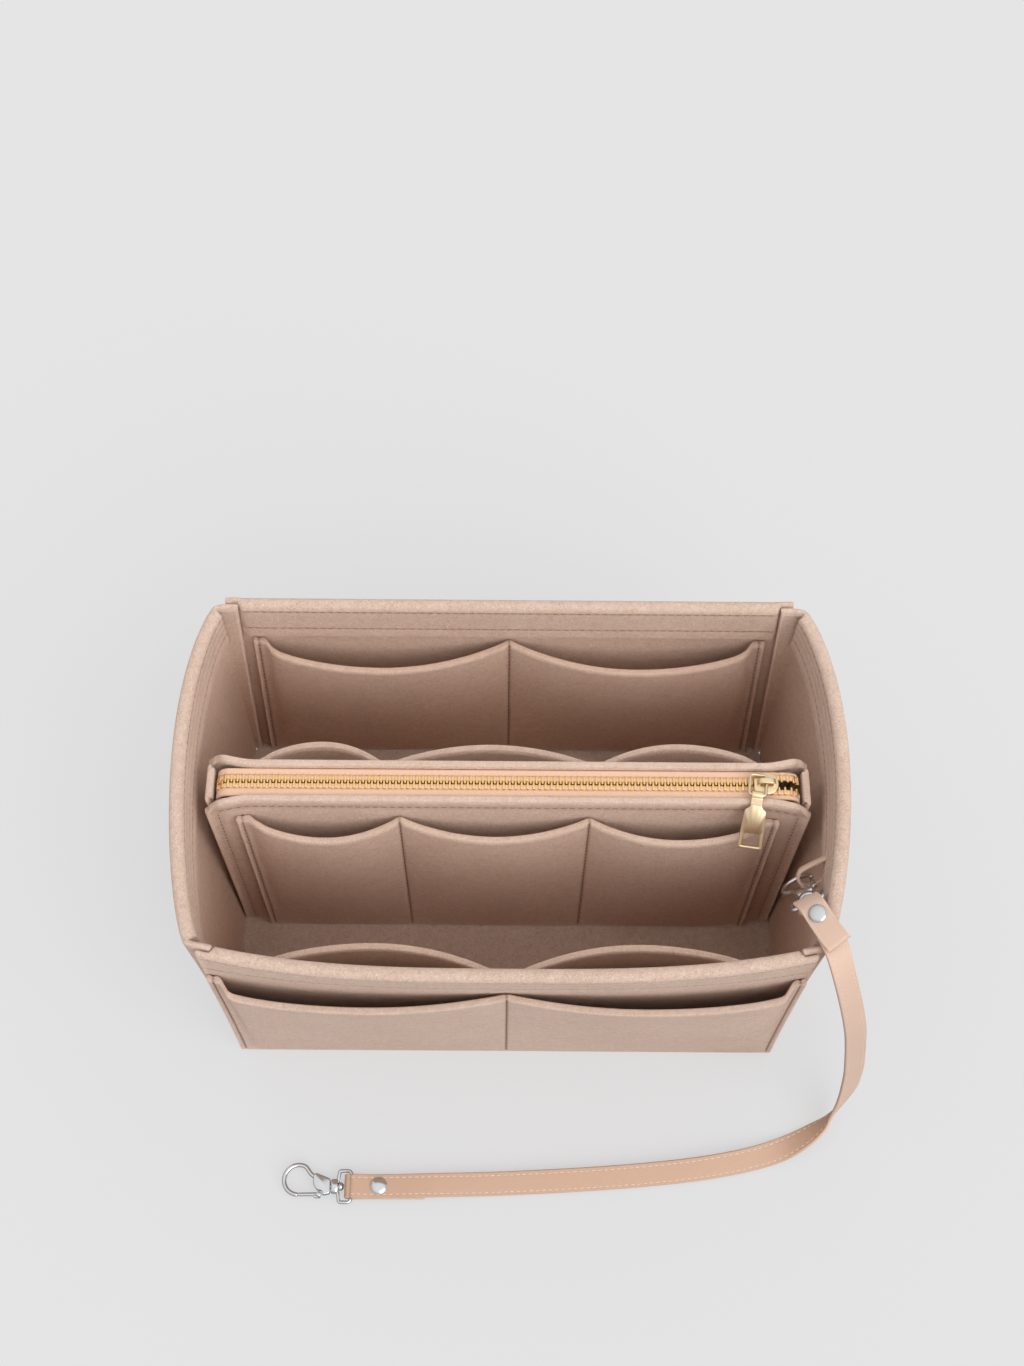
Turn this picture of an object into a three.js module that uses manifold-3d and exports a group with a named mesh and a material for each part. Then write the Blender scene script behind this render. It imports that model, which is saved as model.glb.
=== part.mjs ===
// Purse organizer insert: an open box of 3 mm felt with sewn pockets, a removable felt pouch with a
// metal zip, and a leather leash with a trigger hook at each end.
// Millimetres, +Z up, +X along the length, -Y is the front. The part stands on Z = 0.
import * as THREE from 'three';
import { mergeVertices } from 'three/addons/utils/BufferGeometryUtils.js';
import Module from 'manifold-3d';

// Felt and how it is sewn
const feltThickness = 3;
const seamGap = 0.3;
const seamFlange = 5;
const hemDepth = 27;
const hemEndInset = 7;
const hemEdgeRise = 0.6;

// Outer box
const boxDepth = 158.5;
const boxHeight = 152.5;
const backFootHalf = 132.5;
const backRimHalf = 124.5;
const frontFootHalf = 127.5;
const frontRimHalf = 123.5;
const sideBulgeFoot = 2.5;
const rightBulgeRim = 19.5;
const leftBulgeRim = 17.5;
const frontLeanRim = 4.5;
const frontBowRim = 10;

// Box pockets
const frontOuterPocketDrop = 26.5;
const frontOuterPocketBulge = 5;
const frontOuterPocketInset = 1.5;
const frontInnerPocketDrop = 1;
const frontInnerPocketBulge = 14.5;
const frontInnerPocketInset = 14.5;
const backInnerPocketDrop = 31.5;
const backInnerPocketBulge = 12;
const backInnerPocketInset = 10.2;
const pocketScoop = 4;
const pleatFlange = 5;
const pleatRun = 5;
const pleatStandoff = 6;
const wallPocketSeamShares = [0];
const pouchFrontSeamShares = [-0.4, 0.3];
const pouchBackSeamShares = [-0.46, 0.33];

// Zip pouch
const pouchOverrun = 4.5;
const pouchHeight = 139;
const pouchFrontFoot = -18;
const pouchFrontRim = -13.2;
const pouchBackFoot = 8;
const pouchBackRim = 5.9;
const pouchEndFlare = 3;
const pouchEndFlareRun = 20;
const pouchCornerDrop = 7;
const gussetFlange = 8;
const pouchPocketDrop = 13;
const pouchFrontPocketBulge = 8;
const pouchBackPocketBulge = 12;
const pouchPocketInset = 12.5;
const pouchPleatStandoff = 3.5;

// Zip
const zipCentreY = -3.45;
const zipDrop = 2.7;
const zipEndInset = 10.4;
const zipEndRadius = 6;
const zipEndTurn = 1.45;
const tapeThickness = 0.8;
const tapeLeg = 8;
const toothPitch = 2.53;
const toothRootWidth = 1.3;
const toothHeadWidth = 1.0;
const toothTipWidth = 0.44;
const toothReach = 0.55;
const toothShoulder = 0.25;
const toothHeight = 2.3;
const cordInner = 1.9;
const cordOuter = 2.85;
const rowParting = 1.55;
const rowPartingRun = 6;

// Zip slider and pull
const sliderPark = 8.6;
const sliderLength = 10.5;
const sliderTailWidth = 8;
const sliderNoseWidth = 10;
const sliderPlate = 0.9;
const sliderToothGap = 0.2;
const sliderFlange = 0.65;
const sliderTapeSlot = 0.6;
const dividerLength = 2.6;
const dividerWidth = 1.5;
const dividerX = 2.9;
const crownLength = 8;
const crownHeight = 3.4;
const crownBar = 1.1;
const crownWidth = 2.4;
const linkWire = 1.3;
const linkWidth = 7;
const linkLength = 9.8;
const linkTilt = -7;
const linkTurn = 8;
const tabLength = 25;
const tabWidth = 9.8;
const tabNeckWidth = 4.6;
const tabNeckLength = 4.6;
const tabThickness = 1.3;
const tabWindowLength = 6;
const tabWindowRim = 1.4;
const tabLean = 42;
const tabNeckLean = 86;
const linkClearance = 0.3;

// Leash hardware
const ringWire = 1.6;
const ringHalfWidth = 7;
const ringLength = 7.4;
const bossLength = 3.2;
const bossHalfWidth = 3.3;
const bossHalfDepth = 2.1;
const shankDiameter = 2.2;
const shankClearance = 0.3;
const rivetDiameter = 3.7;
const rivetLength = 2;
const hookWire = 2;
const hookEyeRadius = 6.6;
const hookEyeCentre = 16.8;
const hookEyeOffset = 2.9;
const hookHand = -1;
const hookBlockStart = 2;
const hookBlockEnd = 10;
const hookBlockDepth = 3.2;
const gatePivotAlong = 7.2;
const gatePivotSide = -3.5;
const gateKnuckle = 1.2;
const gateWire = 1.7;
const gateDepth = 2;
const snapCapDiameter = 7.6;
const snapCapRise = 1.4;
const snapBackDiameter = 6.8;
const snapBackRise = 0.7;
const snapShank = 2.4;
const snapFromBar = 12.8;

// Leash strap
const strapWidth = 10.6;
const strapThickness = 1.6;
const strapLayerGap = 0.4;
const foldInner = 1.3;

// Loop tab on the right wall
const loopFromBar = 27.3;
const loopHeight = 3.6;
const loopThickness = 1.3;
const loopBendSide = -1.9;
const loopOpening = 6.6;

const wasm = await Module();
wasm.setup();

const parts = new THREE.Group();
const degree = Math.PI / 180;
const rimZ = boxHeight;
const backY = boxDepth / 2;
const frontY = -boxDepth / 2;
const lerp = THREE.MathUtils.lerp;
const smooth = THREE.MathUtils.smoothstep;

const feltColour = '#CDB3A4';
const leatherColour = '#D9B698';
const tapeColour = '#E6C1A5';
const toothColour = '#D9A441';
const goldColour = '#CDB684';
const nickelColour = '#C9CACC';

function finish(colour, roughness, metalness) {
  return new THREE.MeshStandardMaterial({ color: colour, roughness, metalness });
}

// Adds a named piece to the part
function add(name, geometry, material) {
  const mesh = new THREE.Mesh(geometry, material);
  mesh.name = name;
  parts.add(mesh);
  return mesh;
}

// An indexed solid from points and triangles, turned so that its faces point out
function solidFrom(points, triangles) {
  let volume = 0;
  const cross = new THREE.Vector3();
  for (const [a, b, c] of triangles) {
    cross.crossVectors(points[b], points[c]);
    volume += points[a].dot(cross);
  }
  const faces = volume < 0 ? triangles.map(([a, b, c]) => [a, c, b]) : triangles;
  const geometry = new THREE.BufferGeometry();
  const position = new Float32Array(points.flatMap((p) => [p.x, p.y, p.z]));
  geometry.setAttribute('position', new THREE.BufferAttribute(position, 3));
  geometry.setIndex(faces.flat());
  return geometry;
}

// Joins a run of equal rings into a closed solid. A ring lists one face's points and then the other
// face's points backwards, so that each end is closed by a strip between the two faces.
function loft(rings, closed = false) {
  const size = rings[0].length;
  const points = rings.flat();
  const triangles = [];
  const spans = closed ? rings.length : rings.length - 1;
  for (let i = 0; i < spans; i += 1) {
    const here = i * size;
    const next = ((i + 1) % rings.length) * size;
    for (let j = 0; j < size; j += 1) {
      const k = (j + 1) % size;
      triangles.push([here + j, here + k, next + k]);
      triangles.push([here + j, next + k, next + j]);
    }
  }
  if (!closed) {
    const last = (rings.length - 1) * size;
    for (let k = 0; k + 1 < size / 2; k += 1) {
      const far = size - 1 - k;
      triangles.push([k, far, far - 1]);
      triangles.push([k, far - 1, k + 1]);
      triangles.push([last + k, last + far - 1, last + far]);
      triangles.push([last + k, last + k + 1, last + far - 1]);
    }
  }
  return solidFrom(points, triangles);
}

// A sheet: at each station a list of levels [height, near face, far face] set in space by place()
function sheet(stations, levels, place) {
  const rings = stations.map((station) => {
    const rows = levels(station);
    const near = rows.map(([height, depth]) => place(station, depth, height));
    const far = rows.map(([height, , depth]) => place(station, depth, height));
    return [...near, ...far.reverse()];
  });
  return loft(rings);
}

function toManifold(geometry) {
  const bare = new THREE.BufferGeometry();
  bare.setAttribute('position', geometry.getAttribute('position').clone());
  if (geometry.index) bare.setIndex(geometry.index.clone());
  const merged = mergeVertices(bare, 1e-4);
  return new wasm.Manifold(new wasm.Mesh({
    numProp: 3,
    vertProperties: new Float32Array(merged.getAttribute('position').array),
    triVerts: new Uint32Array(merged.index.array),
  }));
}

function toGeometry(manifold) {
  const mesh = manifold.getMesh();
  const geometry = new THREE.BufferGeometry();
  geometry.setAttribute('position', new THREE.BufferAttribute(new Float32Array(mesh.vertProperties), 3));
  geometry.setIndex([...mesh.triVerts]);
  return geometry;
}

function union(...geometries) {
  return toGeometry(geometries.map(toManifold).reduce((sum, piece) => sum.add(piece)));
}

function cut(geometry, ...tools) {
  return toGeometry(tools.map(toManifold).reduce((rest, tool) => rest.subtract(tool), toManifold(geometry)));
}

// Evenly placed numbers from a to b
function steps(a, b, count) {
  return Array.from({ length: count + 1 }, (_, i) => lerp(a, b, i / count));
}

// Outer box: the plan of each wall at a height

function backHalfAt(z) {
  return lerp(backFootHalf, backRimHalf, z / boxHeight);
}

function frontHalfAt(z) {
  return lerp(frontFootHalf, frontRimHalf, z / boxHeight);
}

// The front wall's outer face leans and bows forward towards the rim
function frontFaceY(x, z) {
  const across = Math.min(Math.abs(x) / frontHalfAt(z), 1);
  return frontY - Math.max(z / boxHeight, 0) ** 1.5 * (frontLeanRim + frontBowRim * (1 - across ** 3));
}

// How far out the bulge of an end wall is at share t of its depth, from the back corner to the front
function bulgeShare(side, t) {
  const fullness = lerp(0.62, side > 0 ? 0.56 : 0.48, t);
  return Math.max(Math.sin(Math.PI * t ** 0.86), 0) ** fullness;
}

// The outer face of an end wall: side is 1 for the right one and -1 for the left one
function sideFaceX(side, y, z) {
  const t = THREE.MathUtils.clamp((backY - y) / (backY - frontFaceY(frontHalfAt(z), z)), 0, 1);
  const rim = side > 0 ? rightBulgeRim : leftBulgeRim;
  const bulge = sideBulgeFoot + (rim - sideBulgeFoot) * (z / boxHeight) ** 1.2;
  return lerp(backHalfAt(z), frontHalfAt(z), t) + bulge * bulgeShare(side, t);
}

// Levels of a hemmed wall. The felt is folded over at the rim, so it is doubled down to the hem edge.
function wallLevels(foot, doubled) {
  const inner = doubled ? 2 * feltThickness : feltThickness;
  const crest = inner / 3;
  const hemZ = rimZ - hemDepth;
  return [
    [foot, 0, feltThickness],
    [lerp(foot, hemZ, 0.35), 0, feltThickness],
    [lerp(foot, hemZ, 0.7), 0, feltThickness],
    [hemZ - hemEdgeRise, 0, feltThickness],
    [hemZ, 0, inner],
    [rimZ - feltThickness * 0.75, 0, inner],
    [rimZ - feltThickness * 0.2, crest * 0.4, inner - crest * 0.4],
    [rimZ, crest, inner - crest],
  ];
}

const wallShares = steps(-1, 1, 12);

function hemEnds(share) {
  return Math.sign(share) * Math.min(Math.abs(share), 1);
}

// Stations along a long wall: the hem's inner layer stops short of both ends, where the end wall's
// flange is sewn in
function longWallStations(half) {
  const inset = 1 - hemEndInset / half;
  const step = hemEdgeRise / half;
  const ends = [
    { share: inset, doubled: true },
    { share: inset + step, doubled: false },
    { share: 1, doubled: false },
  ];
  const middle = wallShares.filter((s) => Math.abs(s) < inset - step).map((share) => ({ share, doubled: true }));
  const left = ends.map((e) => ({ ...e, share: -hemEnds(e.share) })).reverse();
  return [...left, ...middle, ...ends];
}

const feltFinish = finish(feltColour, 0.95, 0);

function longWall(half, halfAt, faceY, inward) {
  return sheet(
    longWallStations(half),
    (station) => wallLevels(0, station.doubled),
    (station, depth, z) => {
      const x = station.share * halfAt(z);
      return new THREE.Vector3(x, faceY(x, z) + inward * depth, z);
    },
  );
}

add('front_panel', longWall(frontRimHalf, frontHalfAt, frontFaceY, 1), feltFinish);
add('back_panel', longWall(backRimHalf, backHalfAt, () => backY, -1), feltFinish);

// End walls: the sheet runs from one turned-in flange round the bulge to the other flange
const sideShares = [0.004, 0.02, 0.05, 0.1, 0.18, 0.28, 0.4, 0.52, 0.64, 0.75, 0.84, 0.91, 0.96, 0.985, 0.996];

function sideStations() {
  const turn = feltThickness + seamGap;
  const main = sideShares.map((share) => ({ share, flange: 0, doubled: share > 0.03 && share < 0.97 }));
  const flange = (end) => [{ end, flange: seamFlange, doubled: false }, { end, flange: turn, doubled: false }];
  return [...flange('back'), ...main, ...flange('front').reverse()];
}

// The end wall's outer line in plan at height z, from the back flange to the front flange
function sidePlan(side, z) {
  const backLine = backY - feltThickness - seamGap;
  const top = sideStations();
  return top.map((station) => {
    if (station.end === 'back') return new THREE.Vector2(backHalfAt(z) - station.flange, backLine);
    if (station.end === 'front') {
      const x = frontHalfAt(z) - station.flange;
      return new THREE.Vector2(x, frontFaceY(x, z) + feltThickness + seamGap);
    }
    const frontLine = frontFaceY(frontHalfAt(z), z) + feltThickness + seamGap;
    const y = lerp(backLine, frontLine, station.share);
    return new THREE.Vector2(sideFaceX(side, y, z), y);
  });
}

// Unit mitres of a line in plan, pointing to its right-hand side as it runs
function mitres(line) {
  const normals = line.slice(1).map((p, i) => {
    const run = p.clone().sub(line[i]).normalize();
    return new THREE.Vector2(run.y, -run.x);
  });
  return line.map((_, i) => {
    const before = normals[Math.max(i - 1, 0)];
    const after = normals[Math.min(i, normals.length - 1)];
    const sum = before.clone().add(after);
    return sum.divideScalar(1 + before.dot(after));
  });
}

const planCache = new Map();

function sidePlanAt(side, z) {
  const key = side * (1 + z);
  if (!planCache.has(key)) {
    const line = sidePlan(side, z);
    planCache.set(key, { line, mitre: mitres(line) });
  }
  return planCache.get(key);
}

function sideWall(side) {
  const stations = sideStations().map((station, index) => ({ ...station, index }));
  return sheet(
    stations,
    (station) => wallLevels(station.flange > 0 ? feltThickness + seamGap : 0, station.doubled),
    (station, depth, z) => {
      const { line, mitre } = sidePlanAt(side, z);
      const p = line[station.index];
      const m = mitre[station.index];
      return new THREE.Vector3(side * (p.x + m.x * depth), p.y + m.y * depth, z);
    },
  );
}

add('right_side_panel', sideWall(1), feltFinish);
add('left_side_panel', sideWall(-1), feltFinish);

// Base panel: the floor felt fills the foot of the four walls
function basePanel() {
  const inset = feltThickness + seamGap;
  const probe = seamGap;
  const edge = (side, y) => {
    const slope = (sideFaceX(side, y + probe, 0) - sideFaceX(side, y - probe, 0)) / (2 * probe);
    return side * (sideFaceX(side, y, 0) - (inset + seamGap) * Math.hypot(1, slope));
  };
  const corner = inset + 3 * seamGap;
  const middle = steps(backY - inset - corner, frontY + inset + corner, 12).map((y) => ({ y, clear: 0 }));
  const rows = [{ y: backY - inset, clear: corner }, ...middle, { y: frontY + inset, clear: corner }];
  return loft(rows.map(({ y, clear }) => {
    const left = edge(-1, y) + clear;
    const right = edge(1, y) - clear;
    return [
      new THREE.Vector3(left, y, 0), new THREE.Vector3(left, y, feltThickness),
      new THREE.Vector3(right, y, feltThickness), new THREE.Vector3(right, y, 0),
    ];
  }));
}

add('base_panel', basePanel(), feltFinish);

// Pockets: a sheet sewn to its wall at both ends, at the foot and at each seam between two cells.
// Each cell bulges off the wall towards its mouth, and its mouth is scooped.
const cellShares = [0.12, 0.28, 0.5, 0.72, 0.88];

function pocketStations(end, seams) {
  const first = -end + pleatFlange + pleatRun;
  const edges = [first, ...seams, -first];
  const list = [{ x: -end, stand: 0, cell: 0 }, { x: -end + pleatFlange, stand: 0, cell: 0 }];
  for (let c = 0; c + 1 < edges.length; c += 1) {
    const left = edges[c];
    const right = edges[c + 1];
    if (c === 0) list.push({ x: left, stand: 1, cell: 0 });
    const leftStand = c === 0 ? 1 : 0;
    const rightStand = c + 2 === edges.length ? 1 : 0;
    for (const share of cellShares) {
      const stand = lerp(leftStand, rightStand, smooth(share, 0, 1)) * (1 - Math.sin(Math.PI * share) * 0.5);
      list.push({ x: lerp(left, right, share), stand, cell: Math.sin(Math.PI * share) ** 0.8 });
    }
    list.push({ x: right, stand: rightStand, cell: 0 });
  }
  list.push({ x: end - pleatFlange, stand: 0, cell: 0 }, { x: end, stand: 0, cell: 0 });
  return list;
}

function pocket({ endAt, seamShares, height, bulge, standoff, foot, faceY, outward }) {
  const end = endAt(height);
  return sheet(
    pocketStations(end, seamShares.map((share) => share * end)),
    (station) => {
      const top = height - pocketScoop * station.cell;
      const round = feltThickness * 0.3;
      return [
        [foot, 0, feltThickness],
        [lerp(foot, top, 0.4), 0, feltThickness],
        [lerp(foot, top, 0.75), 0, feltThickness],
        [top - round, 0, feltThickness],
        [top, round, feltThickness - round],
      ];
    },
    (station, depth, z) => {
      const rise = Math.max((z - foot) / (height - foot), 0) ** 0.8;
      const off = seamGap + rise * (bulge * station.cell + standoff * station.stand);
      const x = (station.x * endAt(z)) / end;
      return new THREE.Vector3(x, faceY(x, z) + outward * (off + depth), z);
    },
  );
}

const innerFoot = feltThickness + seamGap;

add('front_outer_pocket', pocket({
  endAt: (z) => frontHalfAt(z) - frontOuterPocketInset,
  seamShares: wallPocketSeamShares,
  height: boxHeight - frontOuterPocketDrop,
  bulge: frontOuterPocketBulge,
  standoff: pleatStandoff,
  foot: 0,
  faceY: frontFaceY,
  outward: -1,
}), feltFinish);

add('front_inner_pocket', pocket({
  endAt: (z) => frontHalfAt(z) - frontInnerPocketInset,
  seamShares: wallPocketSeamShares,
  height: boxHeight - hemDepth - frontInnerPocketDrop,
  bulge: frontInnerPocketBulge,
  standoff: pleatStandoff / 2,
  foot: innerFoot,
  faceY: (x, z) => frontFaceY(x, z) + feltThickness,
  outward: 1,
}), feltFinish);

add('back_inner_pocket', pocket({
  endAt: (z) => backHalfAt(z) - backInnerPocketInset,
  seamShares: wallPocketSeamShares,
  height: boxHeight - backInnerPocketDrop,
  bulge: backInnerPocketBulge,
  standoff: pleatStandoff,
  foot: innerFoot,
  faceY: () => backY - feltThickness,
  outward: -1,
}), feltFinish);

// Pouch: it stands on the base panel and is closed by two long panels, two gussets and a base
const pouchHalfLength = frontRimHalf + pouchOverrun;
const pouchFoot = feltThickness + seamGap;
const pouchTop = pouchFoot + pouchHeight;
const zipZ = pouchTop - zipDrop;

function flareAt(x, z) {
  const share = smooth(Math.abs(x), pouchHalfLength - pouchEndFlareRun, pouchHalfLength);
  return pouchEndFlare * share * (z - pouchFoot) / pouchHeight;
}

function pouchFrontY(x, z) {
  return lerp(pouchFrontFoot, pouchFrontRim, (z - pouchFoot) / pouchHeight) - flareAt(x, z);
}

function pouchBackY(x, z) {
  return lerp(pouchBackFoot, pouchBackRim, (z - pouchFoot) / pouchHeight) + flareAt(x, z);
}

const panelEnd = [
  pouchHalfLength - pouchEndFlareRun, pouchHalfLength - pouchPocketInset - pleatFlange,
  pouchHalfLength - pouchPocketInset,
  ...steps(pouchHalfLength - gussetFlange - seamGap, pouchHalfLength, 3),
];
const panelStations = [...panelEnd.map((x) => -x).reverse(), -pouchHalfLength / 2, 0,
  pouchHalfLength / 2, ...panelEnd];

function pouchPanel(faceY, inward) {
  return sheet(
    panelStations,
    (x) => {
      const drop = pouchCornerDrop * smooth(Math.abs(x), pouchHalfLength - gussetFlange, pouchHalfLength) ** 2;
      const top = pouchTop - drop;
      const round = feltThickness * 0.3;
      return [
        [pouchFoot, 0, feltThickness],
        [lerp(pouchFoot, top, 0.5), 0, feltThickness],
        [top - round, 0, feltThickness],
        [top, round, feltThickness - round],
      ];
    },
    (x, depth, z) => new THREE.Vector3(x, faceY(x, z) + inward * depth, z),
  );
}

add('pouch_front_panel', pouchPanel(pouchFrontY, 1), feltFinish);
add('pouch_back_panel', pouchPanel(pouchBackY, -1), feltFinish);

// A gusset's web closes the pouch's end and its two flanges lie against the long panels
function pouchGusset(side) {
  const webTop = pouchTop - pouchCornerDrop * 0.5;
  const flangeTop = zipZ - zipEndRadius * 4.2;
  const lay = feltThickness + seamGap;
  const stations = [flangeTop, webTop, webTop, flangeTop].map((top, index) => ({ index, top }));
  const levels = ({ top }) => steps(pouchFoot, top, 3).map((z) => [z, 0, feltThickness]);
  return sheet(stations, levels, (station, depth, z) => {
    const endX = pouchHalfLength;
    const flangeX = endX - gussetFlange;
    const line = [
      new THREE.Vector2(flangeX, pouchBackY(flangeX, z) - lay),
      new THREE.Vector2(endX, pouchBackY(endX, z) - lay),
      new THREE.Vector2(endX, pouchFrontY(endX, z) + lay),
      new THREE.Vector2(flangeX, pouchFrontY(flangeX, z) + lay),
    ];
    const m = mitres(line)[station.index];
    const p = line[station.index];
    return new THREE.Vector3(side * (p.x + m.x * depth), p.y + m.y * depth, z);
  });
}

add('pouch_right_gusset', pouchGusset(1), feltFinish);
add('pouch_left_gusset', pouchGusset(-1), feltFinish);

function pouchBasePanel() {
  const lay = feltThickness + seamGap;
  const half = pouchHalfLength - lay;
  const flangeHalf = pouchHalfLength - gussetFlange - seamGap;
  const nearY = pouchFrontFoot + lay;
  const farY = pouchBackFoot - lay;
  const flangeLay = feltThickness + seamGap;
  const corner = (x, y) => new THREE.Vector2(x, y);
  const outline = [
    corner(-flangeHalf, nearY), corner(flangeHalf, nearY),
    corner(flangeHalf, nearY + flangeLay), corner(half, nearY + flangeLay),
    corner(half, farY - flangeLay), corner(flangeHalf, farY - flangeLay),
    corner(flangeHalf, farY), corner(-flangeHalf, farY),
    corner(-flangeHalf, farY - flangeLay), corner(-half, farY - flangeLay),
    corner(-half, nearY + flangeLay), corner(-flangeHalf, nearY + flangeLay),
  ];
  const geometry = new THREE.ExtrudeGeometry(new THREE.Shape(outline), { depth: feltThickness, bevelEnabled: false });
  geometry.translate(0, 0, pouchFoot);
  return geometry;
}

add('pouch_base_panel', pouchBasePanel(), feltFinish);

add('pouch_front_pocket', pocket({
  endAt: () => pouchHalfLength - pouchPocketInset,
  seamShares: pouchFrontSeamShares,
  height: pouchTop - pouchPocketDrop,
  bulge: pouchFrontPocketBulge,
  standoff: pouchPleatStandoff,
  foot: pouchFoot,
  faceY: pouchFrontY,
  outward: -1,
}), feltFinish);

add('pouch_back_pocket', pocket({
  endAt: () => pouchHalfLength - pouchPocketInset,
  seamShares: pouchBackSeamShares,
  height: pouchTop - pouchPocketDrop,
  bulge: pouchBackPocketBulge,
  standoff: pouchPleatStandoff,
  foot: pouchFoot,
  faceY: pouchBackY,
  outward: 1,
}), feltFinish);

// Zip: both tapes and both rows of teeth follow one line that runs straight and dives at each end
const zipStraightHalf = pouchHalfLength - zipEndInset;
const sliderX = zipStraightHalf - sliderPark;
const zipArc = zipEndRadius * zipEndTurn;
const zipHalf = zipStraightHalf + zipArc;

// Turns a point of the flat chain (along, across, up) into its place on the pouch
function onZip(along, across, up) {
  const over = Math.abs(along) - zipStraightHalf;
  const y = zipCentreY + across;
  if (over <= 0) return new THREE.Vector3(along, y, zipZ + up);
  const turn = over / zipEndRadius;
  const radius = zipEndRadius + up;
  const x = zipStraightHalf + radius * Math.sin(turn);
  return new THREE.Vector3(Math.sign(along) * x, y, zipZ - zipEndRadius + radius * Math.cos(turn));
}

// The rows part where the slider has opened them
function partingAt(along) {
  return rowParting * smooth(along, sliderX - rowPartingRun / 3, sliderX + rowPartingRun * 2 / 3);
}

// One row: a corded edge with a tooth every pitch. Each tooth tapers from its jaws to a rounded tip.
function toothRow(side, phase) {
  const count = Math.floor((2 * zipHalf) / toothPitch) - 1;
  const start = -((count - 1) / 2) * toothPitch + phase * toothPitch;
  const halfUp = toothHeight / 2;
  const points = [];
  const triangles = [];
  const put = (along, across) => {
    const y = side * (across + partingAt(along));
    points.push(onZip(along, y, halfUp), onZip(along, y, -halfUp));
    return points.length - 2;
  };
  const wall = (a, b) => triangles.push([a, b, b + 1], [a, b + 1, a + 1]);
  const faces = (...list) => {
    for (const [a, b, c] of list) triangles.push([a, c, b], [a + 1, b + 1, c + 1]);
  };
  let before = null;
  for (let i = 0; i < count; i += 1) {
    const at = start + i * toothPitch;
    const outer = put(at - toothRootWidth / 2, cordOuter);
    const rootA = put(at - toothRootWidth / 2, cordInner);
    const headA = put(at - toothHeadWidth / 2, -toothShoulder);
    const tipA = put(at - toothTipWidth / 2, -toothReach);
    const tipB = put(at + toothTipWidth / 2, -toothReach);
    const headB = put(at + toothHeadWidth / 2, -toothShoulder);
    const rootB = put(at + toothRootWidth / 2, cordInner);
    if (before) {
      wall(before.rootB, rootA);
      wall(outer, before.outer);
      faces([before.outer, outer, before.rootB], [outer, rootA, before.rootB]);
    } else {
      wall(outer, rootA);
    }
    wall(rootA, headA);
    wall(headA, tipA);
    wall(tipA, tipB);
    wall(tipB, headB);
    wall(headB, rootB);
    if (before) {
      faces([before.outer, before.rootB, before.rootA]);
      faces([before.rootA, before.rootB, before.headB], [before.rootA, before.headB, before.headA]);
      faces([before.headA, before.headB, before.tipB], [before.headA, before.tipB, before.tipA]);
    }
    before = { outer, rootA, headA, tipA, tipB, headB, rootB };
  }
  const end = put(start + (count - 1) * toothPitch + toothRootWidth / 2, cordOuter);
  wall(before.rootB, end);
  wall(end, before.outer);
  faces([before.outer, end, before.rootB], [before.outer, before.rootB, before.rootA]);
  faces([before.rootA, before.rootB, before.headB], [before.rootA, before.headB, before.headA]);
  faces([before.headA, before.headB, before.tipB], [before.headA, before.tipB, before.tipA]);
  return orient(points, triangles);
}

// Turns every triangle to agree with its neighbours, then the whole to face out
function orient(points, triangles) {
  const edges = new Map();
  triangles.forEach((t, i) => {
    for (let k = 0; k < 3; k += 1) {
      const key = [t[k], t[(k + 1) % 3]].sort((a, b) => a - b).join(' ');
      if (!edges.has(key)) edges.set(key, []);
      edges.get(key).push(i);
    }
  });
  const done = new Set([0]);
  const queue = [0];
  while (queue.length) {
    const i = queue.pop();
    const t = triangles[i];
    for (let k = 0; k < 3; k += 1) {
      const a = t[k];
      const b = t[(k + 1) % 3];
      const key = [a, b].sort((p, q) => p - q).join(' ');
      for (const j of edges.get(key)) {
        if (done.has(j)) continue;
        const n = triangles[j];
        const same = [0, 1, 2].some((m) => n[m] === a && n[(m + 1) % 3] === b);
        if (same) triangles[j] = [n[0], n[2], n[1]];
        done.add(j);
        queue.push(j);
      }
    }
  }
  return solidFrom(points, triangles);
}

const toothFinish = finish(toothColour, 0.3, 1);
const tapeFinish = finish(tapeColour, 0.9, 0);

add('zip_front_teeth', toothRow(-1, -0.25), toothFinish);
add('zip_back_teeth', toothRow(1, 0.25), toothFinish);

// A tape lies beside its corded edge and turns down against the panel that it is sewn to
function zipTape(side, panelInnerY) {
  const stations = [
    ...steps(-zipHalf, -zipStraightHalf, 3),
    ...steps(-zipStraightHalf + tapeThickness, sliderX - rowPartingRun, 6),
    ...steps(sliderX - rowPartingRun / 3, sliderX + rowPartingRun * 2 / 3, 4),
    zipStraightHalf - tapeThickness,
    ...steps(zipStraightHalf, zipHalf, 3),
  ];
  const half = tapeThickness / 2;
  const rings = stations.map((along) => {
    const straight = Math.abs(along) < zipStraightHalf;
    const leg = straight ? tapeLeg : tapeThickness;
    const inner = side * (cordOuter + seamGap + partingAt(along));
    const x = THREE.MathUtils.clamp(along, -zipStraightHalf, zipStraightHalf);
    const sewn = panelInnerY(x) - side * seamGap - zipCentreY;
    return [
      onZip(along, inner, half), onZip(along, sewn, half), onZip(along, sewn, -leg),
      onZip(along, sewn - side * tapeThickness, -leg), onZip(along, sewn - side * tapeThickness, -half),
      onZip(along, inner, -half),
    ];
  });
  return loft(rings);
}

const tapeFlareHalf = pouchHalfLength - pouchEndFlareRun;
const frontSewnY = (x) => pouchFrontY(Math.min(Math.abs(x), tapeFlareHalf), zipZ) + feltThickness;
const backSewnY = (x) => pouchBackY(Math.min(Math.abs(x), tapeFlareHalf), zipZ) - feltThickness;
add('zip_front_tape', zipTape(-1, frontSewnY), tapeFinish);
add('zip_back_tape', zipTape(1, backSewnY), tapeFinish);

// Slider: two plates held apart by the divider, flanged over the corded edges, with a crown on top.
// Its own centre is at the origin here and X points to its nose, where the rows come apart.
const plateInner = toothHeight / 2 + sliderToothGap;
const sliderTop = plateInner + sliderPlate;

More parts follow.
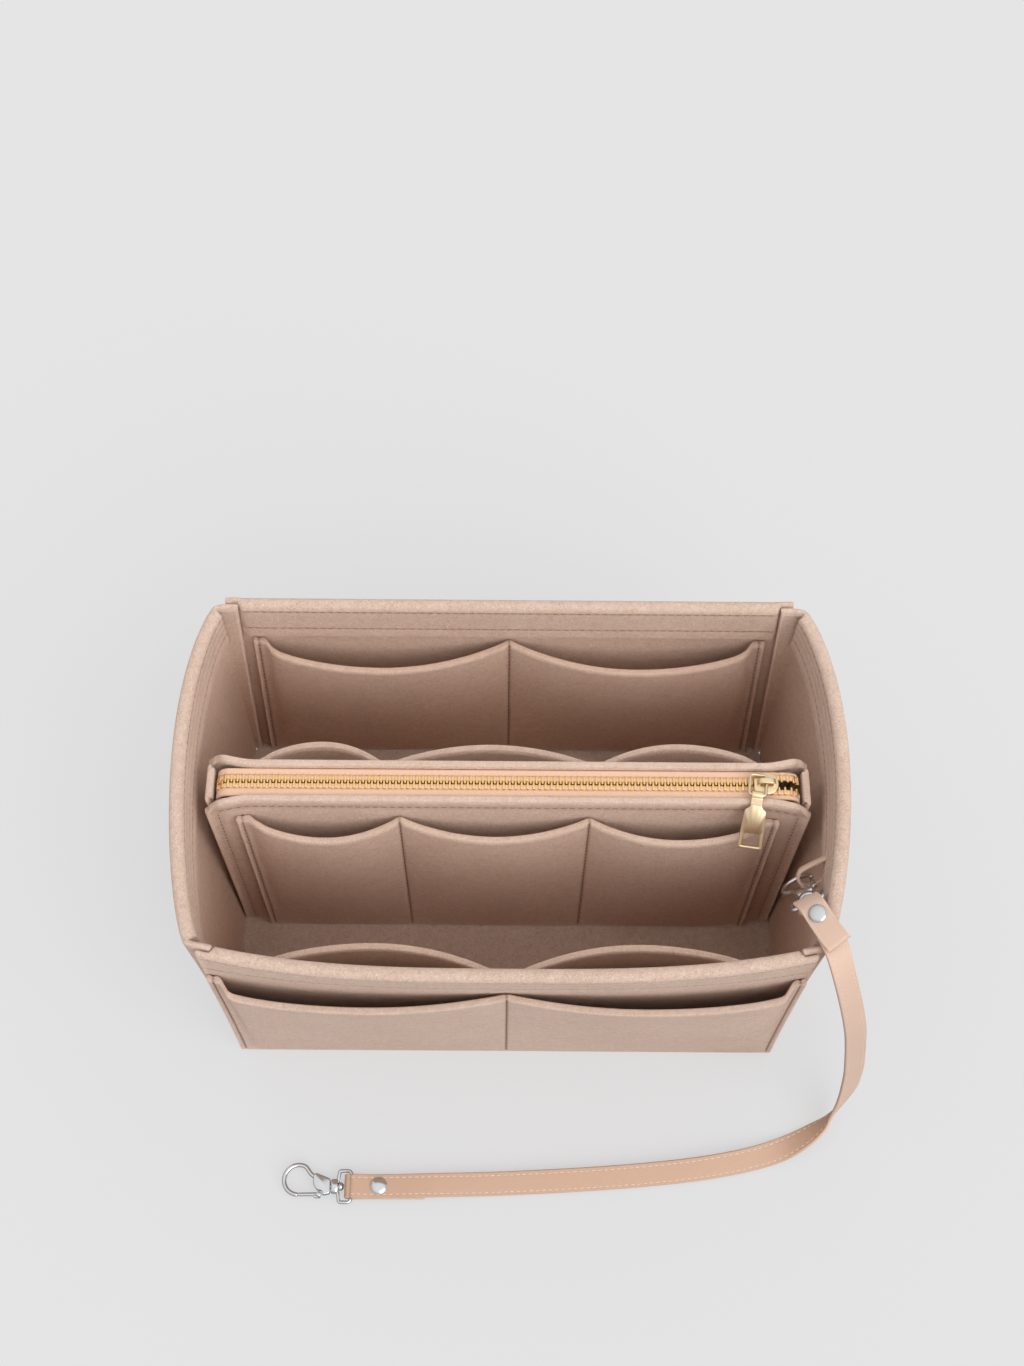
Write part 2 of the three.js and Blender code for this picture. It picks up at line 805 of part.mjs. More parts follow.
function sliderOutline(inset) {
  const half = sliderLength / 2;
  const tail = sliderTailWidth / 2 - inset;
  const nose = sliderNoseWidth / 2 - inset;
  const shape = new THREE.Shape();
  shape.moveTo(-half, -tail * 0.8);
  shape.lineTo(-half + 1 * sliderPlate, -tail);
  shape.lineTo(0, -nose);
  shape.quadraticCurveTo(half, -nose, half, -nose * 0.25);
  shape.lineTo(half, nose * 0.25);
  shape.quadraticCurveTo(half, nose, 0, nose);
  shape.lineTo(-half + 1 * sliderPlate, tail);
  shape.lineTo(-half, tail * 0.8);
  shape.closePath();
  return shape;
}

function slab(shape, low, high, segments = 3) {
  const geometry = new THREE.ExtrudeGeometry(shape, { depth: high - low, bevelEnabled: false, curveSegments: segments });
  geometry.translate(0, 0, low);
  return geometry;
}

function box(x0, x1, y0, y1, z0, z1) {
  const geometry = new THREE.BoxGeometry(x1 - x0, y1 - y0, z1 - z0);
  geometry.translate((x0 + x1) / 2, (y0 + y1) / 2, (z0 + z1) / 2);
  return geometry;
}

function sliderBody() {
  const half = sliderLength / 2;
  const rim = slab(sliderOutline(0), -sliderTop, sliderTop);
  const channel = slab(sliderOutline(sliderFlange), -plateInner, plateInner);
  const slot = box(-sliderLength, sliderLength, -sliderNoseWidth, sliderNoseWidth, -sliderTapeSlot, sliderTapeSlot);
  const ends = [-1, 1].map((end) => {
    const width = cordOuter + seamGap + (end < 0 ? 0 : rowParting);
    const x = end * half;
    const depth = end < 0 ? 2 * sliderPlate : half * 0.7;
    return box(x - depth, x + depth, -width, width, -plateInner, plateInner);
  });
  const divider = new THREE.Shape();
  divider.moveTo(dividerX - dividerLength / 2, 0);
  divider.lineTo(dividerX, -dividerWidth / 2);
  divider.lineTo(dividerX + dividerLength / 2, 0);
  divider.lineTo(dividerX, dividerWidth / 2);
  divider.closePath();
  const post = slab(divider, -plateInner - sliderPlate / 2, plateInner + sliderPlate / 2);
  return union(cut(rim, channel, slot, ...ends), post, crown());
}

// The crown is a low arch along the slider, open from side to side for the pull's link
function crown() {
  const half = crownLength / 2;
  const sink = sliderPlate / 2;
  const arch = new THREE.Shape();
  arch.moveTo(-half, -sink);
  arch.bezierCurveTo(-half, crownHeight * 0.9, -half * 0.6, crownHeight, 0, crownHeight);
  arch.bezierCurveTo(half * 0.6, crownHeight, half, crownHeight * 0.9, half, -sink);
  arch.lineTo(half - crownBar, -sink);
  arch.bezierCurveTo(half - crownBar, crownHeight - crownBar, half * 0.5, crownHeight - crownBar, 0,
    crownHeight - crownBar);
  arch.bezierCurveTo(-half * 0.5, crownHeight - crownBar, -half + crownBar, crownHeight - crownBar,
    -half + crownBar, -sink);
  arch.closePath();
  const options = { depth: crownWidth, bevelEnabled: false, curveSegments: 5 };
  const geometry = new THREE.ExtrudeGeometry(arch, options);
  geometry.translate(0, 0, -crownWidth / 2);
  geometry.rotateX(Math.PI / 2);
  geometry.translate(0, 0, sliderTop);
  return geometry;
}

const goldFinish = finish(goldColour, 0.25, 1);
const slider = add('zip_slider', sliderBody(), goldFinish);
slider.position.set(sliderX, zipCentreY, zipZ);

// A round bar along a run of points in a plane or in space; closed runs make a ring
function wire(points, diameter, sides, closed = false) {
  const radius = diameter / 2;
  const count = points.length;
  const normal = planeNormal(points);
  const rings = points.map((p, i) => {
    const before = closed ? points[(i + count - 1) % count] : points[Math.max(i - 1, 0)];
    const after = closed ? points[(i + 1) % count] : points[Math.min(i + 1, count - 1)];
    const a = p.clone().sub(before).normalize();
    const b = after.clone().sub(p).normalize();
    const run = a.clone().add(b).normalize();
    const side = new THREE.Vector3().crossVectors(normal, run).normalize();
    const stretch = 1 / Math.max(Math.sqrt((1 + (a.lengthSq() && b.lengthSq() ? a.dot(b) : 1)) / 2), 0.5);
    return Array.from({ length: sides }, (_, k) => {
      const turn = ((k + 0.5) / sides) * 2 * Math.PI;
      return p.clone()
        .addScaledVector(side, radius * Math.cos(turn) * stretch)
        .addScaledVector(normal, radius * Math.sin(turn));
    });
  });
  return loft(rings, closed);
}

function planeNormal(points) {
  const sum = new THREE.Vector3();
  const a = points[0];
  for (let i = 1; i + 1 < points.length; i += 1) {
    const u = points[i].clone().sub(a);
    const v = points[i + 1].clone().sub(a);
    sum.add(u.cross(v));
  }
  return sum.normalize();
}

// Points round a corner or an eye, in a plane of two directions
function arc(centreU, centreV, radius, from, to, count) {
  return steps(from, to, count).map((turn) => [centreU + radius * Math.cos(turn), centreV + radius * Math.sin(turn)]);
}

// Link: a closed wire loop. One arm runs through the crown and the front bar carries the tab.
// Its hinge line is the arm in the crown, and the loop lies over the slider's tail side.
const linkPivot = new THREE.Vector3(sliderX, zipCentreY, zipZ + sliderTop + crownHeight - crownBar
  - linkWire / 2 - linkClearance);

function linkLoop() {
  const corner = linkWire;
  const back = crownWidth / 2 + linkWire + linkClearance;
  const front = back - linkLength;
  const plan = [
    ...arc(-corner, back - corner, corner, 0, Math.PI / 2, 3),
    ...arc(-linkWidth + corner, back - corner, corner, Math.PI / 2, Math.PI, 3),
    ...arc(-linkWidth + corner, front + corner, corner, Math.PI, 1.5 * Math.PI, 3),
    ...arc(-corner, front + corner, corner, 1.5 * Math.PI, 2 * Math.PI, 3),
  ];
  return wire(plan.map(([x, y]) => new THREE.Vector3(x, y, 0)), linkWire, 8, true);
}

const link = add('pull_link', linkLoop(), goldFinish);
link.position.copy(linkPivot);
link.rotation.set(linkTilt * degree, 0, -linkTurn * degree, 'ZXY');

// Tab: a plate with an eye rolled round the link's front bar, a neck cranked to pass over the pouch's
// rim and a window at its far end. Out runs along the neck and down runs along the plate.
function tabPlate() {
  const eyeBore = linkWire / 2 + linkClearance;
  const eyeOuter = eyeBore + tabThickness * 0.6;
  const half = tabWidth / 2;
  const neck = tabNeckWidth / 2;
  const bend = tabNeckLength;
  const plate = new THREE.Shape();
  plate.moveTo(-neck, 0);
  plate.lineTo(neck, 0);
  plate.lineTo(half - tabThickness / 2, tabThickness);
  plate.lineTo(half, tabLength - bend);
  plate.lineTo(-half, tabLength - bend);
  plate.lineTo(-half + tabThickness / 2, tabThickness);
  plate.closePath();
  const windowTop = tabLength - bend - tabWindowRim;
  const hole = new THREE.Path();
  hole.moveTo(-half + tabWindowRim, windowTop);
  hole.lineTo(half - tabWindowRim, windowTop);
  hole.lineTo(half - 1.5 * tabWindowRim, windowTop - tabWindowLength);
  hole.lineTo(-half + 1.5 * tabWindowRim, windowTop - tabWindowLength);
  hole.closePath();
  plate.holes.push(hole);
  const lean = tabLean * degree;
  const flat = slab(plate, -tabThickness / 2, tabThickness / 2);
  flat.rotateX(-Math.PI / 2 - (Math.PI / 2 - lean));
  const neckLean = tabNeckLean * degree;
  const bendAt = new THREE.Vector3(0, -bend * Math.sin(neckLean), -bend * Math.cos(neckLean));
  flat.translate(bendAt.x, bendAt.y, bendAt.z);
  const stem = box(-neck, neck, -bend, 0, -tabThickness / 2, tabThickness / 2);
  stem.rotateX(Math.PI / 2 - neckLean);
  const knee = new THREE.CylinderGeometry(tabThickness / 2, tabThickness / 2, tabNeckWidth, 10);
  knee.rotateZ(Math.PI / 2);
  knee.translate(bendAt.x, bendAt.y, bendAt.z);
  const eye = new THREE.CylinderGeometry(eyeOuter, eyeOuter, tabNeckWidth, 12);
  eye.rotateZ(Math.PI / 2);
  const bore = new THREE.CylinderGeometry(eyeBore, eyeBore, 2 * tabNeckWidth, 12);
  bore.rotateZ(Math.PI / 2);
  return cut(union(flat, stem, knee, eye), bore);
}

const linkFront = crownWidth / 2 + linkWire + linkClearance - linkLength;
const tabPivot = new THREE.Vector3(-linkWidth / 2, linkFront, 0).applyEuler(link.rotation).add(linkPivot);
const tab = add('pull_tab', tabPlate(), goldFinish);
tab.position.copy(tabPivot);
tab.rotation.set(0, 0, -linkTurn * degree);

// Leash hardware. Each assembly has its own axes: along runs from the strap bar to the hook's tip,
// side runs across the strap, and depth is square to both. The swivel boss is at its origin.
function pipe(radius, from, to, sides = 12) {
  const geometry = new THREE.CylinderGeometry(radius, radius, to - from, sides);
  geometry.rotateZ(-Math.PI / 2);
  geometry.translate((from + to) / 2, 0, 0);
  return geometry;
}

function swivelRing() {
  const bar = -ringLength;
  const corner = ringWire;
  const shoulder = -bossLength * 0.3;
  const plan = [
    [shoulder, 0],
    [shoulder, bossHalfWidth * 0.9],
    ...arc(shoulder - corner * 1.4, ringHalfWidth - corner * 1.4, corner * 1.4, Math.PI / 3, Math.PI / 2, 2),
    ...arc(bar + corner, ringHalfWidth - corner, corner, Math.PI / 2, Math.PI, 3),
    ...arc(bar + corner, -ringHalfWidth + corner, corner, Math.PI, 1.5 * Math.PI, 3),
    ...arc(shoulder - corner * 1.4, -ringHalfWidth + corner * 1.4, corner * 1.4, -Math.PI / 2, -Math.PI / 3, 2),
    [shoulder, -bossHalfWidth * 0.9],
  ];
  const loop = wire(plan.map(([a, s]) => new THREE.Vector3(a, s, 0)), ringWire, 8, true);
  const boss = pipe(1, -bossLength / 2, bossLength / 2, 16);
  boss.scale(1, bossHalfWidth, bossHalfDepth);
  const bore = pipe(shankDiameter / 2 + shankClearance, -bossLength, bossLength);
  return cut(union(loop, boss), bore);
}

function hookBody() {
  const block = new THREE.Shape([
    [hookBlockStart, -bossHalfWidth],
    [gatePivotAlong - gateKnuckle - seamGap, -hookEyeRadius * 0.62],
    [gatePivotAlong - gateKnuckle - seamGap, gatePivotSide + gateKnuckle + seamGap],
    [gatePivotAlong + gateKnuckle, gatePivotSide + gateKnuckle + 2 * seamGap],
    [hookBlockEnd, hookWire / 2],
    [hookBlockEnd, hookEyeRadius * 0.78],
    [hookBlockStart, bossHalfWidth],
  ].map(([a, s]) => new THREE.Vector2(a, hookHand * s)));
  const plate = slab(block, -hookBlockDepth / 2, hookBlockDepth / 2);
  const startSide = hookEyeRadius * 0.78 - hookWire / 2;
  const bowStart = 115 * degree;
  const bowEnd = -83 * degree;
  const bow = [
    [hookBlockEnd - hookWire, startSide - hookWire * 0.3],
    [hookBlockEnd + hookWire / 2, startSide + hookWire * 0.4],
    ...arc(hookEyeCentre, hookEyeOffset, hookEyeRadius, bowStart, bowEnd, 12),
  ];
  const eye = wire(bow.map(([a, s]) => new THREE.Vector3(a, hookHand * s, 0)), hookWire, 8);
  const shankEnd = -bossLength / 2 - shankClearance;
  const shank = pipe(shankDiameter / 2, shankEnd - rivetLength / 2, hookBlockStart + hookWire / 2);
  const rivet = pipe(rivetDiameter / 2, shankEnd - rivetLength, shankEnd);
  return union(plate, eye, shank, rivet);
}

// Gate: a bar from its knuckle to the hook's tip, with a thumb lever on the outside
function hookGate() {
  const tipTurn = -83 * degree;
  const tipAlong = hookEyeCentre + hookEyeRadius * Math.cos(tipTurn);
  const tipSide = hookEyeOffset + hookEyeRadius * Math.sin(tipTurn);
  const end = tipAlong - 2 * seamGap;
  const bar = wire([
    [gatePivotAlong, gatePivotSide],
    [(gatePivotAlong + end) / 2, (gatePivotSide + tipSide) / 2 - seamGap / 10],
    [end, tipSide],
  ].map(([a, s]) => new THREE.Vector3(a, hookHand * s, 0)), gateWire, 8);
  const knuckle = new THREE.CylinderGeometry(gateKnuckle, gateKnuckle, gateDepth, 12);
  knuckle.rotateX(Math.PI / 2);
  knuckle.translate(gatePivotAlong, hookHand * gatePivotSide, 0);
  const lever = new THREE.Shape([
    [gatePivotAlong, gatePivotSide - gateKnuckle * 0.6],
    [gatePivotAlong - gateKnuckle, gatePivotSide - gateKnuckle * 1.5],
    [gatePivotAlong + gateKnuckle * 2, gatePivotSide - gateKnuckle * 1.5],
    [gatePivotAlong + gateKnuckle * 2, gatePivotSide],
  ].map(([a, s]) => new THREE.Vector2(a, hookHand * s)));
  return union(bar, knuckle, slab(lever, -gateDepth / 2, gateDepth / 2));
}

// Where the two strap bars are, and how each hook hangs from its bar
const upper = {
  bar: new THREE.Vector3(121.4, -59.1, 148.7),
  side: new THREE.Vector3(0.86, 0.33, 0.4),
  along: new THREE.Vector3(0.1, 0.66, -0.745),
};
const lower = {
  bar: new THREE.Vector3(-70.5, -146.3, 3.4),
  side: new THREE.Vector3(0, -1, 0),
  along: new THREE.Vector3(-1, 0, 0),
};

const nickelFinish = finish(nickelColour, 0.2, 1);

for (const [name, frame] of [['upper', upper], ['lower', lower]]) {
  frame.side.normalize();
  frame.along.addScaledVector(frame.side, -frame.along.dot(frame.side)).normalize();
  frame.depth = new THREE.Vector3().crossVectors(frame.along, frame.side);
  frame.boss = frame.bar.clone().addScaledVector(frame.along, ringLength);
  const turn = new THREE.Matrix4().makeBasis(frame.along, frame.side, frame.depth);
  for (const [piece, geometry] of [
    ['swivel_ring', swivelRing()], ['hook', hookBody()], ['hook_gate', hookGate()],
  ]) {
    const mesh = add(`${name}_${piece}`, geometry, nickelFinish);
    mesh.position.copy(frame.boss);
    mesh.quaternion.setFromRotationMatrix(turn);
  }
}

// The strap's route: its centre line and the direction across its width, from the upper bar, over the
// rim, down to the table, half a twist at the bend, and along the front to the lower bar
function station([p, w]) {
  return { point: new THREE.Vector3(...p), width: new THREE.Vector3(...w) };
}

const strapRoute = [
  [[122.07, -62.57, 154.27], [0.86, 0.33, 0.4]],
  [[122.52, -63.53, 155.56], [0.86, 0.35, 0.37]],
  [[123.92, -66.43, 156.12], [0.86, 0.37, 0.34]],
  [[125.56, -69.9, 156.78], [0.86, 0.39, 0.3]],
  [[127.2, -73.4, 157.0], [0.87, 0.4, 0.2]],
  [[128.9, -77.0, 156.4], [0.88, 0.4, 0.08]],
  [[130.5, -80.7, 155.1], [0.87, 0.39, -0.08]],
  [[132.0, -84.3, 152.2], [0.86, 0.38, -0.22]],
  [[133.9, -87.9, 147.2], [0.84, 0.38, -0.34]],
  [[136.4, -91.3, 139.6], [0.81, 0.37, -0.43]],
  [[139.2, -94.2, 130.0], [0.78, 0.36, -0.5]],
  [[142.6, -96.8, 117.0], [0.76, 0.34, -0.55]],
  [[146.0, -98.9, 102.0], [0.74, 0.32, -0.59]],
  [[148.9, -100.5, 86.0], [0.71, 0.3, -0.63]],
  [[151.5, -102.0, 70.0], [0.69, 0.28, -0.67]],
  [[153.7, -103.5, 55.0], [0.66, 0.26, -0.71]],
  [[155.1, -105.0, 41.0], [0.62, 0.25, -0.75]],
  [[155.8, -106.6, 28.5], [0.56, 0.26, -0.79]],
  [[155.4, -108.5, 18.5], [0.48, 0.3, -0.83]],
  [[153.7, -111.0, 11.2], [0.38, 0.38, -0.84]],
  [[150.3, -114.6, 7.0], [0.24, 0.54, -0.8]],
  [[144.9, -119.0, 5.4], [0.1, 0.78, -0.6]],
  [[137.9, -123.4, 3.9], [0.12, 0.93, -0.33]],
  [[130.0, -127.2, 2.4], [0.18, 0.98, -0.08]],
  [[120.5, -130.6, 2.2], [0.2, 0.96, 0.14]],
  [[110.0, -133.4, 2.7], [0.17, 0.95, 0.25]],
  [[98.0, -135.8, 2.9], [0.14, 0.95, 0.3]],
  [[84.0, -137.9, 2.9], [0.12, 0.95, 0.3]],
  [[68.0, -139.7, 2.9], [0.1, 0.95, 0.3]],
  [[50.0, -141.3, 2.9], [0.08, 0.95, 0.3]],
  [[30.0, -142.7, 2.8], [0.06, 0.96, 0.28]],
  [[10.0, -143.8, 2.7], [0.05, 0.96, 0.26]],
  [[-10.0, -144.7, 2.7], [0.04, 0.97, 0.22]],
  [[-26.0, -145.2, 3.2], [0.02, 0.99, 0.14]],
  [[-36.0, -145.6, 3.9], [0.01, 1, 0.06]],
  [[-46.0, -146.0, 4.3], [0, 1, 0]],
  [[-54.0, -146.2, 4.4], [0, 1, 0]],
  [[-62.5, -146.3, 4.4], [0, 1, 0]],
].map(station);

// The two flaps, each from its bar to its cut end, lie against the strap as far as the snap
const upperFlap = [
  [[120.91, -60.99, 155.49], [0.86, 0.33, 0.4]],
  [[121.56, -62.93, 157.32], [0.86, 0.35, 0.37]],
  [[123.18, -66.43, 157.98], [0.86, 0.37, 0.34]],
  [[124.82, -69.9, 158.64], [0.86, 0.39, 0.3]],
  [[126.6, -73.3, 159.3], [0.86, 0.39, 0.3]],
  [[128.5, -76.6, 159.8], [0.86, 0.4, 0.3]],
  [[130.6, -79.7, 160.1], [0.86, 0.4, 0.3]],
].map(station);
const lowerFlap = [
  [[-62.5, -146.3, 2.4], [0, 1, 0]],
  [[-54.0, -146.3, 2.4], [0, 1, 0]],
  [[-45.0, -146.2, 2.1], [0.03, 1, 0]],
  [[-37.0, -146.1, 1.5], [0.06, 1, 0]],
].map(station);

const foldRadius = ringWire / 2 + foldInner / 2 + strapThickness / 2;
const layerPitch = strapThickness + strapLayerGap;

// The folded end round a bar, from the strap's side to the flap's side, and where its snap sits.
// mains and flaps list the facing stations of the two layers, outwards from the bar.
function foldedEnd(frame, mains, flaps) {
  const line = [frame.bar, ...flaps.map((flap, k) => flap.point.clone().lerp(mains[k].point, 0.5))];
  const across = frame.side.clone().multiplyScalar(Math.sign(frame.side.dot(mains[0].width)));
  const run = line[1].clone().sub(frame.bar);
  run.addScaledVector(across, -run.dot(across)).normalize();
  const out = flaps[0].point.clone().sub(mains[0].point);
  out.addScaledVector(across, -out.dot(across));
  out.addScaledVector(run, -out.dot(run)).normalize();
  const list = steps(-0.5 * Math.PI, 0.5 * Math.PI, 6).map((turn) => ({
    point: frame.bar.clone()
      .addScaledVector(out, foldRadius * Math.sin(turn))
      .addScaledVector(run, -foldRadius * Math.cos(turn)),
    width: across.clone(),
  }));
  let k = 0;
  let left = snapFromBar;
  while (left > line[k].distanceTo(line[k + 1])) {
    left -= line[k].distanceTo(line[k + 1]);
    k += 1;
  }
  const lay = line[k + 1].clone().sub(line[k]).normalize();
  const middle = line[k].clone().addScaledVector(lay, left);
  const wide = flaps[k].width.clone();
  wide.addScaledVector(lay, -wide.dot(lay)).normalize();
  const axis = new THREE.Vector3().crossVectors(wide, lay);
  axis.multiplyScalar(Math.sign(axis.dot(flaps[k].point.clone().sub(mains[k].point))));
  return { list, axis, middle };
}

function buildStrap() {
  const upperFold = foldedEnd(upper, strapRoute, upperFlap);
  const lowerFold = foldedEnd(lower, [...strapRoute].reverse(), lowerFlap);
  const route = [
    ...[...upperFlap].reverse(), ...upperFold.list.reverse(),
    ...strapRoute,
    ...lowerFold.list, ...lowerFlap,
  ];
  const snaps = [
    { name: 'upper', ...upperFold, capSide: 1 },
    { name: 'lower', ...lowerFold, capSide: -1 },
  ];
  return { route, snaps };
}

const strap = buildStrap();

function strapSolid(route) {
  const rings = route.map(({ point, width }, i) => {
    const before = route[Math.max(i - 1, 0)].point;
    const after = route[Math.min(i + 1, route.length - 1)].point;
    const run = after.clone().sub(before).normalize();
    const across = width.clone().addScaledVector(run, -width.dot(run)).normalize();
    const face = new THREE.Vector3().crossVectors(run, across);
    const corner = (s, f) => point.clone()
      .addScaledVector(across, (s * strapWidth) / 2)
      .addScaledVector(face, (f * strapThickness) / 2);
    return [corner(-1, -1), corner(-1, 1), corner(1, 1), corner(1, -1)];
  });
  return loft(rings);
}

// A solid turned about Y from [height, radius] steps, and a collar turned from a closed outline
function circle(height, radius, sides) {
  return Array.from({ length: sides }, (_, k) => {
    const turn = (k / sides) * 2 * Math.PI;
    return new THREE.Vector3(radius * Math.cos(turn), height, radius * Math.sin(turn));
  });
}

function turned(profile, sides) {
  return loft(profile.map(([height, radius]) => circle(height, radius, sides)));
}

function collar(profile, sides) {
  const rows = profile.map(([height, radius]) => circle(height, radius, sides));
  return loft(rows[0].map((_, k) => rows.map((row) => row[k])), true);
}

const capRadius = snapCapDiameter / 2;
const backRadius = snapBackDiameter / 2;
const shankRadius = snapShank / 2;
const snapReach = layerPitch / 2 + strapThickness / 2;
const snapHoles = [];

for (const { name, middle, axis, capSide } of strap.snaps) {
  const up = axis.clone().multiplyScalar(capSide);
  const turn = new THREE.Quaternion().setFromUnitVectors(new THREE.Vector3(0, 1, 0), up);
  const capFoot = snapReach + seamGap / 2;
  const backFoot = -snapReach - 1.5 * seamGap;
  const cap = turned([
    [backFoot - snapBackRise, shankRadius], [capFoot, shankRadius], [capFoot, capRadius],
    [capFoot + snapCapRise * 0.3, capRadius * 0.98], [capFoot + snapCapRise * 0.75, capRadius * 0.75],
    [capFoot + snapCapRise, capRadius * 0.35],
  ], 16);
  const back = collar([
    [backFoot, shankRadius + seamGap], [backFoot, backRadius],
    [backFoot - snapBackRise, backRadius * 0.85], [backFoot - snapBackRise, shankRadius + seamGap],
  ], 16);
  const hole = turned([[backFoot, shankRadius + seamGap], [capFoot, shankRadius + seamGap]], 16);
  for (const geometry of [cap, back, hole]) {
    geometry.applyQuaternion(turn);
    geometry.translate(middle.x, middle.y, middle.z);
  }
  snapHoles.push(hole);
  add(`${name}_snap_cap`, cap, nickelFinish);
  add(`${name}_snap_back`, back, nickelFinish);
}

add('leash_strap', cut(strapSolid(strap.route), ...snapHoles), finish(leatherColour, 0.7, 0));

// Loop tab: a narrow strip bent round inside the upper hook's eye, with both ends at the right wall's
// hem. It is laid out in the hook's axes: sideways to the wall, across its opening, and along the hook.
function loopTab() {
  const centre = upper.bar.clone().addScaledVector(upper.along, loopFromBar);
  const place = (sideways, opening, height) => centre.clone()
    .addScaledVector(upper.side, sideways)
    .addScaledVector(upper.depth, opening)
    .addScaledVector(upper.along, height);
  const toHem = (opening, height) => {
    let sideways = 0;
    for (let pass = 0; pass < 6; pass += 1) {
      const p = place(sideways, opening, height);
      sideways += (sideFaceX(1, p.y, p.z) - 2 * feltThickness - 3 * seamGap - p.x) / upper.side.x;
    }
    return sideways;
  };
  const half = (loopOpening + loopThickness) / 2;
  const bendCentre = loopBendSide + half;
  const corners = [[-1, -1], [-1, 1], [1, 1], [1, -1]];
  const end = (opening, outward) => corners.map(([face, edge]) => {
    const at = opening + (outward * face * loopThickness) / 2;
    const height = (edge * loopHeight) / 2;
    return place(toHem(at, height), at, height);
  });
  const bend = steps(0.5 * Math.PI, 1.5 * Math.PI, 8).map((turn) => corners.map(([face, edge]) => {
    const radius = half + (face * loopThickness) / 2;
    const height = (edge * loopHeight) / 2;
    return place(bendCentre + radius * Math.cos(turn), radius * Math.sin(turn), height);
  }));
  return loft([end(half, 1), ...bend, end(-half, -1)]);
}

add('leash_loop_tab', loopTab(), finish(leatherColour, 0.8, 0));

// The felt box is centred over the origin
const frontReach = new THREE.Box3().setFromObject(parts.getObjectByName('front_outer_pocket')).min.y;
const rightReach = new THREE.Box3().setFromObject(parts.getObjectByName('right_side_panel')).max.x;
const leftReach = new THREE.Box3().setFromObject(parts.getObjectByName('left_side_panel')).min.x;
parts.position.set(-(rightReach + leftReach) / 2, -(frontReach + backY) / 2, 0);

const organizer = new THREE.Group();
organizer.add(parts);
export default organizer;
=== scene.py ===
"""Purse organizer insert: an open felt box with stitched pockets, a zip pouch and a leather leash.

Every sheet of felt is a surface of two parameters, the place along the sheet and the height. Its two
faces lie half a thickness to either side of that surface, and both close in a small round at each
edge. The end walls bulge by a power of a sine along the depth, and each pocket stands off its wall by
a power of a sine across its cell times its rise. Lengths are in millimetres until a mesh is made.
"""
import math

import bpy
import numpy as np
from mathutils import Matrix


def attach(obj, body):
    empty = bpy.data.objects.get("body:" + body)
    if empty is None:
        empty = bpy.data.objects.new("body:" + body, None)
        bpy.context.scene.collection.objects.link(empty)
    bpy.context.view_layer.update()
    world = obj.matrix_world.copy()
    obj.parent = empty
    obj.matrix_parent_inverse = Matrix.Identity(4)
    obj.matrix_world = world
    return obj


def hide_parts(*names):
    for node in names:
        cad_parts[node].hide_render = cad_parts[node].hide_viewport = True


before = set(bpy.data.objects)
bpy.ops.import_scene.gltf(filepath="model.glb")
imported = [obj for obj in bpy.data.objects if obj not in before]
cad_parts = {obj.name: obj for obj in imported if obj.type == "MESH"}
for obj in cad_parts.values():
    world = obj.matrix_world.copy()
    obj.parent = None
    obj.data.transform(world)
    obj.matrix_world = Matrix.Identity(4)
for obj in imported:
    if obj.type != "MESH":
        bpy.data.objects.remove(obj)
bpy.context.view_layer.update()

# Table, light and camera.
# A pale seamless table under soft studio light, seen from high in front.
# The background keeps one even pale grey, and the table keeps the soft shadow of the box.


def linear(code):
    """sRGB hex to linear: each channel c becomes c/12.92 or ((c+0.055)/1.055)^2.4."""
    parts = np.array([int(code[i : i + 2], 16) for i in (1, 3, 5)]) / 255
    return (*np.where(parts <= 0.04045, parts / 12.92, ((parts + 0.055) / 1.055) ** 2.4), 1.0)


def feed(tree, made, sockets):
    """Gives a node's inputs their values or links, by input."""
    for key, value in sockets.items():
        if isinstance(value, bpy.types.NodeSocket):
            tree.links.new(value, made.inputs[key])
        else:
            made.inputs[key].default_value = value


def node(tree, kind, sockets=None, **settings):
    """Adds one node: settings are its own properties, sockets are values or links by input."""
    made = tree.nodes.new(kind)
    for key, value in settings.items():
        setattr(made, key, value)
    feed(tree, made, sockets or {})
    return made


def new_material(name):
    """A material with an empty tree but for its output and a Principled shader."""
    material = bpy.data.materials.new(name)
    material.use_nodes = True
    tree = material.node_tree
    tree.nodes.clear()
    shader = node(tree, "ShaderNodeBsdfPrincipled")
    output = node(tree, "ShaderNodeOutputMaterial", {"Surface": shader.outputs[0]})
    return material, tree, shader, output


def mix(tree, share, first, second, blend_type="MIX"):
    """The colour a share of the way from first to second, each a hex code or a link."""
    colours = [linear(c) if isinstance(c, str) else c for c in (first, second)]
    return node(tree, "ShaderNodeMix", {0: share, 6: colours[0], 7: colours[1]}, data_type="RGBA",
                blend_type=blend_type).outputs[2]


def arithmetic(tree, first, second, operation="MULTIPLY"):
    """Two numbers or links multiplied, added or compared."""
    return node(tree, "ShaderNodeMath", {0: first, 1: second}, operation=operation).outputs[0]


def finished(tree, shader, sockets, height=None, distance=0.0, strength=1.0):
    """Sets the shader's sockets by name, to values or links, and roughens it by a height in metres."""
    if height is not None:
        bump = node(tree, "ShaderNodeBump", {"Height": height, "Distance": distance, "Strength": strength})
        tree.links.new(bump.outputs[0], shader.inputs["Normal"])
    feed(tree, shader, sockets)


def new_object(name, data):
    """An object of the data, put in the scene."""
    made = bpy.data.objects.new(name, data)
    bpy.context.collection.objects.link(made)
    return made


def turned_to(made, right, up, forward, place=(0, 0, 0)):
    """Makes a lamp or camera look along forward, from its right and up directions and its place."""
    matrix = np.eye(4)
    matrix[:3] = np.stack([right, up, -forward, place], 1)
    made.matrix_world = Matrix(matrix.tolist())
    return made


background = "#E4E4E4"
table_half = 3.0
table_drop = 0.0003
dome_horizon, dome_zenith = 0.5, 1.2
even_share = 0.67


